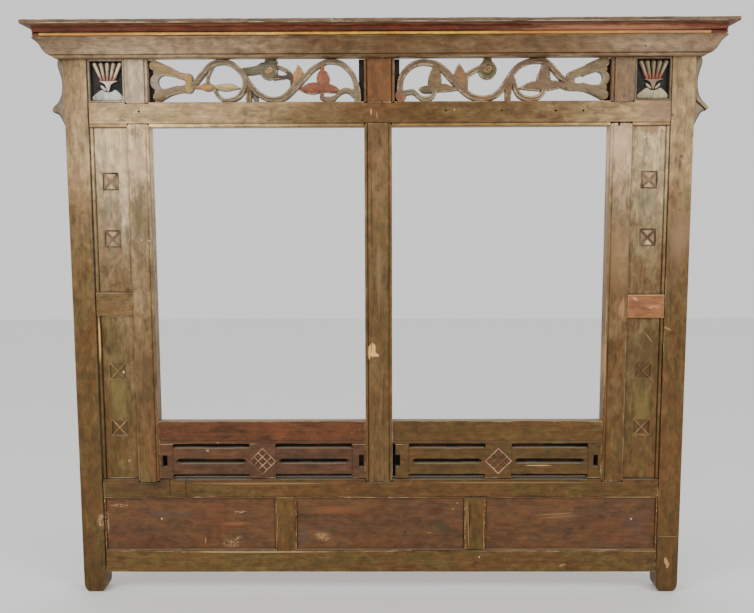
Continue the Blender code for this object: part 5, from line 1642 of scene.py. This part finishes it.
LEFT_FRIEZE = (
    Element(BAND, LOBE_TAN, ((24, 72, 13), (44, 67, 9), (66, 60, 7)), -0.22),
    Element(BAND, LOBE_PINK, ((26, 25, 13), (44, 30, 9), (66, 34, 7)), -0.22),
    Element(WEB, WEB_SHADE, ((249, 24, 7), (255, 7, 6.5))),
    Element(LOBE, LOBE_TAN, ((14, 87, 11.5), (48, 75, 8.6), (76, 63, 7.2), (96, 58, 9)), 0.02),
    Element(LOBE, LOBE_BROWN, ((22, 13, 11.5), (48, 24, 8.6), (76, 31, 8), (96, 32, 9.8))),
    Element(LOBE, LOBE_PINK, ((24, 48, 19.4),), 0.04),
    Element(BAND, COLLAR_GOLD, ((96, 59, 9), (96, 32, 9.5)), 0.04),
    Element(VINE, VINE_LEFT,
        ((103, 36, 6), (117, 52, 6), (134, 72, 6), (151, 88, 6), (176, 94, 6), (199, 89, 6), (222, 69, 6),
            (230, 51, 6), (227, 32, 6), (215, 14, 5.5), (197, 6, 5), (180, 5, 4.5), (168, 12, 4.2),
            (160, 23, 3.8), (156, 36, 3.5)), 0.05),
    Element(VINE, VINE_LEFT, ((154, 87, 4.3), (145, 69, 3.3), (140, 53, 3.3), (143, 37, 4)), -0.22),
    Element(LEAF, GOLD_LEAF, ((100, 36, 3), (125, 36, 4.3), (140, 36, 8), (155, 35, 4.3)), -0.02),
    Element(LEAF, 0xCEB07A, ((154, 35, 3), (180, 35, 7), (199, 36, 6), (217, 33, 1)), -0.04),
    Element(VINE, VINE_LEFT,
        ((223, 71, 6), (238, 46, 6), (252, 29, 6), (269, 15, 6), (289, 7, 6), (310, 7, 6.5), (327, 14, 7.2),
            (343, 29, 7.9), (360, 45, 7.2), (377, 62, 6.5), (393, 77, 6), (421, 92, 5.5), (438, 94, 5.5),
            (457, 90, 5.5), (473, 79, 5.5), (486, 63, 5.5), (493, 45, 6), (497, 26, 7.5), (498, 6, 8)), 0.02),
    Element(LEAF, BUD_GREEN, ((228, 72, 7.2), (245, 73, 8), (261, 76, 8.6), (274, 79, 11.5)), -0.12),
    Element(BUD, BUD_GREEN, ((287, 73, 21.5),)),
    Element(BUD, GOLD_HEART, ((284, 71, 6), (291, 75, 7)), 0.1),
    Element(LOBE, BUD_GREEN, ((289, 92, 12), (302, 94, 6)), -0.15),
    Element(VINE, CURL_BROWN, ((303, 84, 4), (324, 76, 4.3), (335, 68, 5), (341, 58, 4.3), (343, 40, 5)),
        -0.12),
    Element(VINE, CURL_BROWN, ((300, 58, 6.5), (318, 58, 4.3), (331, 59, 4.3), (341, 54, 4)), -0.2),
    Element(LEAF, GOLD_LEAF, ((356, 86, 0.8), (359, 73, 6.5), (356, 59, 10.5), (351, 45, 8.6), (344, 32, 6)),
        0.06),
    Element(LEAF, TERRACOTTA, ((414, 84, 4), (414, 73, 4), (416, 56, 12.2), (416, 40, 10), (415, 30, 6)),
        0.14),
    Element(LEAF, TERRACOTTA, ((360, 29, 1.2), (378, 31, 8.4), (392, 32, 11), (410, 33, 8.6)), 0.08),
    Element(LEAF, TERRACOTTA, ((420, 34, 9), (439, 30, 7.2), (456, 26, 1.5)), 0.08),
    Element(BAND, TERRACOTTA_DULL, ((413, 29, 5), (413, 12, 5)), -0.02),
    Element(VINE, VINE_LEFT,
        ((412, 9, 4), (427, 6, 6), (438, 7, 6), (448, 14, 4.5), (458, 23, 5.5), (470, 27, 5.8),
            (481, 24, 6.5), (492, 16, 7.2))),
    Element(VINE, VINE_WARM, ((240, 36, 5), (238, 12, 6.5), (239, 0, 5.8)), -0.05),)
RIGHT_FRIEZE = (
    Element(BAND, LOBE_BROWN, ((492, 74, 13), (472, 70, 9), (452, 63, 7)), -0.22),
    Element(BAND, LOBE_BROWN, ((492, 31, 13), (472, 34, 9), (452, 39, 7)), -0.22),
    Element(LOBE, TERRACOTTA_DULL, ((15, 14, 13),)),
    Element(VINE, VINE_RIGHT,
        ((13, 24, 6.7), (15, 50, 6.7), (25, 69, 6.5), (42, 84, 6.5), (63, 91, 6.5), (83, 90, 6.5),
            (101, 85, 7), (119, 72, 7.6), (135, 55, 8), (152, 37, 7.6), (167, 23, 7), (183, 12, 6.7),
            (201, 7, 6.7), (219, 7, 6.4), (236, 12, 6.7), (251, 23, 7), (266, 42, 7.5), (277, 60, 7),
            (288, 75, 6.8), (301, 85, 6.3), (319, 92, 6), (340, 94, 6), (357, 92, 6.5), (370, 83, 6.3),
            (381, 71, 6.2), (395, 56, 6), (412, 44, 7)), 0.04),
    Element(LEAF, OLIVE_PETAL, ((101, 84, 5), (97, 64, 10.4), (96, 47, 13), (93, 30, 10)), 0.06),
    Element(LEAF, OLIVE_PETAL, ((100, 32, 8), (119, 32, 7.6), (135, 30, 5), (152, 30, 3))),
    Element(LEAF, 0x625844, ((90, 30, 8), (72, 28, 7), (61, 30, 2.5)), -0.08),
    Element(VINE, 0x766C56,
        ((18, 19, 6), (41, 23, 6), (50, 19, 5), (61, 10, 5), (75, 6, 6.3), (89, 11, 5.6), (97, 24, 5)),
        -0.02),
    Element(LEAF, 0x86623E, ((153, 88, 0.8), (154, 74, 7), (156, 60, 11), (160, 44, 10.4), (165, 30, 7.6)),
        0.08),
    Element(VINE, VINE_RIGHT,
        ((168, 28, 7), (169, 47, 5.8), (172, 60, 5.8), (183, 68, 6), (197, 75, 6), (212, 78, 9)), -0.02),
    Element(ROSETTE, 0x685E3C, ((221, 73, 22),)),
    Element(BUD, 0xA6844E, ((218, 72, 7), (225, 76, 7)), 0.08),
    Element(LOBE, 0x645A3C, ((221, 94, 10),), -0.1),
    Element(VINE, VINE_WARM, ((274, 44, 7), (271, 22, 7), (270, 2, 6.3)), -0.05),
    Element(VINE, VINE_RIGHT,
        ((282, 50, 5.6), (290, 26, 6), (301, 12, 6), (318, 6, 6), (336, 7, 6), (349, 14, 5.3), (359, 30, 5)),
        -0.02),
    Element(LEAF, VINE_RIGHT, ((359, 90, 5), (357, 67, 9.7), (355, 50, 13.5), (355, 36, 10)), 0.06),
    Element(LEAF, VINE_RIGHT, ((296, 30, 1.2), (315, 34, 6.3), (331, 36, 9), (350, 36, 10))),
    Element(LEAF, VINE_RIGHT, ((360, 36, 10), (383, 38, 8.3), (396, 38, 6), (412, 34, 7))),
    Element(BAND, LOBE_BROWN, ((419, 59, 9.9), (419, 34, 9.9)), 0.03),
    Element(LOBE, LOBE_BROWN, ((423, 62, 8.6), (447, 70, 9.3), (467, 80, 9.9), (498, 91, 11.5))),
    Element(LOBE, LOBE_BROWN, ((423, 33, 8.6), (447, 32, 8.6), (467, 27, 9.3), (497, 15, 11.5))),
    Element(LOBE, LOBE_BROWN, ((492, 53, 17.9),), 0.02),)


@dataclass
class Friezes:
    """Pierced boards of vines and flowers over the lights."""

    grid: tuple[float, float] = (513, 100)
    relief: float = 0.011
    tongue: float = 0.013
    holes: tuple[Stroke, Stroke] = (((38, 48, 15.5), (55, 49, 12.2), (71, 48, 6.5), (88, 47, 0.6)),
        ((480, 53, 14.8), (467, 51, 12.4), (452, 50, 7.4), (432, 48, 0.6)))

    def build(self) -> None:
        """Make both friezes."""
        # The strokes' side walls are painted greyer and darker than their faces, as painted shade.
        wall = Paint("carving_wall_shade_paint", 0x70685A, 0x7E7A70, 0x5C5242, BARE_TAN, glare_and_bleach=0.4, dust=0.7,
            wear=0.0)
        for side, elements, hole in (("left", LEFT_FRIEZE, self.holes[0]),
                ("right", RIGHT_FRIEZE, self.holes[1])):
            node = f"frieze_scroll_{side}"
            low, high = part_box(node)
            pads = [(low.x - 0.001, low.x + self.tongue), (high.x - self.tongue, high.x + 0.001)]
            carving = Carving(elements, (low.x, high.x, low.z, high.z), self.grid, hole, pads)
            seed = seed_of(node)

            def face(x: Grid, z: Grid) -> tuple[Grid, Grid]:
                """Depth and colour of the strokes, and of the sunk tongues at the ends, painted near black as
                shade.
                """
                height, shade, field_ = carving.surface(x, z)
                rounding = 0.0016 * np.exp(-np.maximum(-field_, 0) / 0.0012)
                depth = self.relief * (1 - np.clip(height, 0.1, 1.2)) + 0.0012 + rounding
                depth = depth + 0.0003 * drift(x, z, 0.006, seed)
                sunk = smooth(field_, 0.0, 0.0006)
                depth = depth * (1 - sunk) + (high.y - low.y - 0.006) * sunk
                shade = shade * (1 - sunk[..., None]) + np.array(rgb(TONGUE_SHADE)) * sunk[..., None]
                return depth, shade

            paint = Paint(f"carving_paint_{side}", 0x7E684C, 0xA08E74, 0x68543A, 0xBCA686, glare_and_bleach=0.3,
                wear=0.0016, dust=0.35, streaks=0.3, zoned=True)
            Cutout(node, Grain.ACROSS, paint.material(), wall.material(suffix=f"_{side}"), carving.edge,
                face).build()


@dataclass
class Shells:
    """Small panels carved with a fan of ribs over a cup and a mound, on a sunk ground painted near black as
    shade.
    """

    bead: Bead = field(default_factory=lambda: Bead(0.0035, 0.001, 0.001))
    ground: float = 0.014
    relief: float = 0.007
    ribs: int = 5
    grid: tuple[float, float] = (77, 100)

    def build(self) -> None:
        """Make both panels."""
        # Ribs: 'rib' is painted shade in the flutes, 'ridge' and 'last' are painted highlights along the
        # crests, brightest on the outer ribs.
        pale = {"rib": 0x5C4E3C, "ridge": 0xC4B296, "last": 0xECD6B2, "cup": 0xE0C6BE, "mound": 0xCCCEC0,
            "base": 0xA06860, "curl": 0xDED8D0}
        tan = {"rib": 0x564834, "ridge": 0x948064, "last": 0xA89478, "cup": 0x967A62, "mound": 0xB0A484,
            "base": 0xA8604C, "curl": 0xB2A48C}
        for side, shades in (("left", pale), ("right", tan)):
            self._panel(side, shades)

    def _panel(self, side: str, shades: dict[str, Colour]) -> None:
        """Make one panel."""
        node = f"shell_panel_{side}"
        low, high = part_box(node)
        border = self.bead.width + 0.0013
        bay = (low.x + border, high.x - border, low.z + border, high.z - border)
        elements = [
            Element(BAND, shades["cup"], ((21, 50, 1.2), (29, 48, 2.6), (36, 45, 4.4), (40.5, 43, 5))),
            Element(BAND, shades["cup"], ((62, 50, 1.2), (52, 48, 2.6), (45, 45, 4.4), (40.5, 43, 5))),
            Element(BAND, shades["cup"], ((40.5, 44, 8.0), (40.5, 37, 5.6), (40.5, 26, 2.4))),
            Element(LOBE, shades["mound"], ((26, 21, 6.5), (20, 15, 7.5), (8, 8, 5.5))),
            Element(LOBE, shades["mound"], ((57, 21, 6.5), (62, 15, 7.5), (71, 8, 5.5))),
            Element(LOBE, shades["mound"], ((27, 13, 11), (41, 10, 11), (56, 13, 11)), 0.05),
            Element(BAND, shades["mound"], ((7, 6, 5), (72, 6, 5)), -0.1),
            Element(VINE, shades["curl"], ((25, 37, 2.4), (29, 33, 3), (34, 28, 2.4)))]
        if side == "right":
            elements.append(Element(VINE, shades["curl"], ((55, 37, 2.4), (52, 33, 3), (47, 28, 2.4))))
        for index in range(self.ribs):
            spread = 2 * index / (self.ribs - 1) - 1
            foot, tip = (40 + spread * 14.5, 53), (40 + spread * 29.5, 92)
            bright = shades["last"] if index in (0, self.ribs - 1) else shades["ridge"]
            elements.append(Element(LOBE, shades["rib"], ((*foot, 3.5), (*tip, 6.7)), 0.05))
            elements.append(Element(LOBE, bright, ((*foot, 1.7), (tip[0] + 0.6, tip[1], 3.3)), 0.5))
        carving = Carving(elements, bay, self.grid)
        seed = seed_of(node)

        def depth(x: Grid, z: Grid) -> Grid:
            """Depth of the frame, the ground and the carving on it."""
            height, _, field_ = carving.surface(x, z)
            carved = 1 - smooth(field_, -0.0002, 0.0008)
            sunk = self.ground + 0.0005 * drift(x, z, 0.01, seed)
            relief = sunk - (self.relief * np.clip(height, 0, 1.6) + 0.001) * carved
            away = inset(low, high, x, z)
            return np.where(away < border, self.bead.depth(away), relief)

        def zone(x: Grid, z: Grid) -> tuple[Grid, Grid]:
            """Colours of the ribs, cup and mound on the ground, which is painted near black as shade."""
            _, shade, field_ = carving.surface(x, z)
            carved = (1 - smooth(field_, -0.0004, 0.0006))[..., None]
            up = (z - bay[2]) / (bay[3] - bay[2])
            red = (smooth(up, 0.47, 0.52) * (1
                - smooth(up + 0.05 * drift(x, z, 0.004, seed), 0.56, 0.7)))[..., None]
            shade = shade * (1 - 0.8 * red) + np.array(rgb(shades["base"])) * 0.8 * red
            # Near-black painted shade for the sunk ground.
            ground = 0x0C0908 if side == "left" else 0x121613
            shade = shade * carved + np.array(rgb(ground)) * (1 - carved)
            frame = smooth(-inset(low, high, x, z), -border, -border + 0.0006)
            return 1 - frame, shade

        def darkening(x: Grid, z: Grid) -> Grid:
            """Painted shade in the hollows between the ribs."""
            sunk = depth(x, z)
            hollow = np.clip((sunk - blurred(sunk, 2)) / 0.0018, 0, 1)
            return np.where(inset(low, high, x, z) < border, 0, hollow * 0.7)

        tint = ((0xB0A088, 0xC6B8A0) if side == "left" else (0x847054, 0x968468))
        paint = Paint(f"shell_paint_{side}", *tint, 0x78644C, BARE_CREAM, glare_and_bleach=0.5, dust=0.15, streaks=0.25,
            wear=0.001, zoned=True)
        Board(node, Grain.UPRIGHT, paint.material(), depth=depth, grime=darkening, zone=zone, arris=0.0006,
            hollow=0.0003, close_x=[(low.x + 0.0008, high.x - 0.0008, 0.00085)],
            close_z=[(low.z + 0.0008, high.z - 0.0008, 0.00085)]).build()


@dataclass
class Cornice:
    """Fascia with shaped ends, the red cove with its gold bead, and the thin cap board."""

    bead: float = 0.008
    end_shape: tuple[tuple[float, float], ...] = ((1.0, 1.0), (0.97, 0.9), (0.73, 0.7), (0.57, 0.45),
        (0.4, 0.23), (0.14, 0.09), (0.0, 0.0))
    end_foot: float = 0.016

    def build(self) -> None:
        """Make the three boards."""
        self._fascia()
        self._moulding()
        self._cap()

    def _fascia(self) -> None:
        """Flat fascia whose ends are drawn in to a double curve."""
        low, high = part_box("fascia_board")
        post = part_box("post_right")[1].x
        bead = Bead(self.bead, 0.0014, 0.0018)
        curve = np.array(smooth_path([(reach, rise, 0.0) for reach, rise in self.end_shape], 10))
        order = np.argsort(curve[:, 1])
        rises, reaches = curve[order, 1], curve[order, 0]
        full = high.x - post

        def shaped(points: Grid) -> Grid:
            """Pull the ends in to the curve."""
            points = points.copy()
            up = np.clip((points[:, 2] - low.z) / (high.z - low.z), 0, 1)
            end = post + self.end_foot + (full - self.end_foot) * np.interp(up, rises, reaches)
            beyond = np.abs(points[:, 0]) - (post - 0.02)
            span = full + 0.02
            moved = post - 0.02 + beyond * (end - post + 0.02) / span
            points[:, 0] = np.where(beyond > 0, np.sign(points[:, 0]) * moved, points[:, 0])
            return points

        scars = [Mark(0.666, 1.428, 0.0035, 0.0022, 0x5C4630, sunk=0.0012, ragged=0.5),
            Mark(-0.3, 1.452, 0.22, 0.0012, 0x5C4228, strength=0.5)]
        Board("fascia_board", Grain.ACROSS, FASCIA_GREY.material(scars, "_board"),
            depth=lambda x, z: bead.depth(z - low.z), grime=lambda x, z: bead.darkening(z - low.z),
            marks=scars[:1], close_z=[bead.lines(low.z, 1)],
            close_x=[(-high.x, -post + 0.02, 0.003), (post - 0.02, high.x, 0.003)], arris=0.001,
            warp=shaped).build()

    def _moulding(self) -> None:
        """Red cove over a small fillet and a gold bead."""
        low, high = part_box("cornice_moulding")
        rise = high.z - low.z
        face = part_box("fascia_board")[0].y - low.y

        def depth(x: Grid, z: Grid) -> Grid:
            """Bead, quirk, fillet and cove, each at its own height."""
            up = (z - low.z) / rise
            bead = face - 0.0042 * np.sqrt(np.maximum(1 - ((up - 0.19) / 0.17) ** 2, 0))
            fillet = face - 0.0052
            turn = np.clip((up - 0.5) / 0.5, 0, 1)
            cove = fillet - (face - 0.0052) * (1 - np.sqrt(np.maximum(1 - turn ** 2, 0)))
            cove = np.where(up > 0.985, 0.0, cove)
            made = np.where(up < 0.36, bead,
                np.where(up < 0.41, face + 0.0012, np.where(up < 0.5, fillet, cove)))
            return np.where(up < 0.02, face, made)

        def darkening(x: Grid, z: Grid) -> Grid:
            """Darkening in the quirks, and painted shadow up under the cap."""
            up = (z - low.z) / rise
            lines = np.exp(-((up - 0.385) / 0.035) ** 2) + np.exp(-((up - 0.01) / 0.03) ** 2)
            # Painted shadow under the cap's overhang, deepening upwards.
            return np.clip(0.9 * lines + 0.55 * smooth(up, 0.72, 1.0), 0, 1)

        def gold(x: Grid, z: Grid, _: Grid) -> Grid:
            """Gold on the bead, gone near the ends."""
            up = (z - low.z) / rise
            kept = (x > low.x + 0.02) & (x < high.x - 0.045)
            return np.where((up < 0.365) & kept, 1, 0)

        dull = [Mark(x, low.z + 0.006, wide, 0.009, colour, soft=0.6, strength=strength) for x, wide, colour,
            strength in ((0.5, 0.26, 0xD48E4A, 0.75), (0.74, 0.17, 0xC48C62, 0.85),
                (-0.72, 0.14, 0xCE8C50, 0.7))]
        rubbed = [Mark(0.58, low.z + 0.012, 0.3, 0.01, 0xDC9C74, soft=0.7, strength=0.6)]
        close_z = [(low.z + 0.0002, high.z - 0.0001, 0.00065)]
        for step in (0.36, 0.41):
            close_z.append((low.z + rise * step - 0.0001, low.z + rise * step + 0.0001, 0.0002))
        Board("cornice_moulding", Grain.ACROSS, COVE_RED.material(rubbed, "_moulding"), depth=depth,
            grime=darkening, picks=gold, more_paints=[GOLD.material(dull, "_crown")], arris=0.0003, hollow=0.0004,
            close_z=close_z).build()

    def _cap(self) -> None:
        """Thin bare board whose front edge is worn and broken."""
        low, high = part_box("cornice_cap")

        def depth(x: Grid, z: Grid) -> Grid:
            """Worn lip, deepest towards its upper edge."""
            up = (z - low.z) / (high.z - low.z)
            bites = np.maximum(drift(x, z * 0 + 1, 0.03, 5.0), 0) + 0.6 * np.maximum(
                drift(x, z * 0 + 2, 0.011, 9.0), 0)
            return 0.0004 + 0.003 * bites * smooth(up, 0.35, 1.0) + 0.0016 * smooth(up, 0.75, 1.0)

        Board("cornice_cap", Grain.ACROSS, CAP_GREY.material(suffix="_edge"), depth=depth, step=0.004,
            close_z=[(low.z + 0.0005, high.z - 0.0005, 0.0011)], arris=0.0012).build()


def look_at_photo() -> None:
    """Camera at the height, distance and tilt that the straight edges give."""
    pitch, yaw, roll = (math.radians(turn) for turn in (6.23, 0.392, -0.181))
    ahead = Vector((-math.sin(yaw) * math.cos(pitch), math.cos(yaw) * math.cos(pitch), -math.sin(pitch)))
    right = Vector((math.cos(yaw), math.sin(yaw), 0.0))
    up = right.cross(ahead)
    level = right * math.cos(roll) + up * math.sin(roll)
    upright = up * math.cos(roll) - right * math.sin(roll)
    pose = Matrix((level, upright, -ahead)).transposed().to_4x4()
    pose.translation = Vector((0.0079, -2.1944, 1.014))
    lens = bpy.data.cameras.new("camera")
    lens.sensor_width, lens.sensor_fit, lens.lens = 36.0, "HORIZONTAL", 850 / 754 * 36.0
    camera = placed("camera", lens)
    camera.matrix_world = pose
    bpy.context.scene.camera = camera


@dataclass(frozen=True)
class Lamp:
    """A soft studio light."""

    name: str
    place: Triple
    aim: Triple
    size: float
    power: float
    shade: Triple = (1.0, 1.0, 1.0)

    def build(self) -> None:
        """Hang the light and point it."""
        lamp = bpy.data.lights.new(self.name, "AREA")
        lamp.shape, lamp.size, lamp.energy, lamp.color = "SQUARE", self.size, self.power, self.shade
        holder = placed(self.name, lamp)
        holder.location = self.place
        holder.rotation_euler = (Vector(self.aim) - Vector(self.place)).to_track_quat("-Z", "Y").to_euler()


@dataclass
class Studio:
    """Pale floor, pale surroundings and soft lights."""

    floor: float = 6.0
    shade: Triple = (0.86, 0.86, 0.85)

    def build(self) -> None:
        """Lay the floor, hang the lights and set the camera."""
        graph = Graph("studio_floor")
        place = graph.node("ShaderNodeTexCoord", {}, {}, "Object")
        tone = graph.noise(place, 1.5, 2.0)
        colour = graph.mix(tone, self.shade, tuple(part * 0.985 for part in self.shade))
        graph.put(graph.shader.inputs["Base Color"], colour)
        graph.shader.inputs["Roughness"].default_value = 0.8
        half = self.floor
        mesh = bpy.data.meshes.new("studio_floor")
        mesh.from_pydata([(-half, -half, 0), (half, -half, 0), (half, half, 0), (-half, half, 0)], [],
            [(0, 1, 2, 3)])
        mesh.materials.append(graph.material)
        ground = placed("studio_floor", mesh)
        world = bpy.data.worlds.new("studio")
        world.use_nodes = True
        sky = world.node_tree.nodes["Background"]
        sky.inputs["Color"].default_value = (1.0, 1.0, 1.0, 1.0)
        sky.inputs["Strength"].default_value = 1.0
        bpy.context.scene.world = world
        Lamp("left_lamp", (-1.9, -1.9, 2.5), (-0.3, 0.0, 1.0), 1.2, 32.0).build()
        Lamp("right_lamp", (1.9, -1.9, 2.5), (0.3, 0.0, 1.0), 1.2, 26.0).build()
        look_at_photo()


def main() -> None:
    """Build the surround piece by piece."""
    logging.basicConfig(level=logging.INFO, format="%(name)s %(message)s")
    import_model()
    for part in (Studio(), Frame(), SidePanels(), BottomPanels(), FretBoards(), FriezeStiles(), Ears(),
            Friezes(), Shells(), Cornice()):
        part.build()


if __name__ == "__main__":
    main()
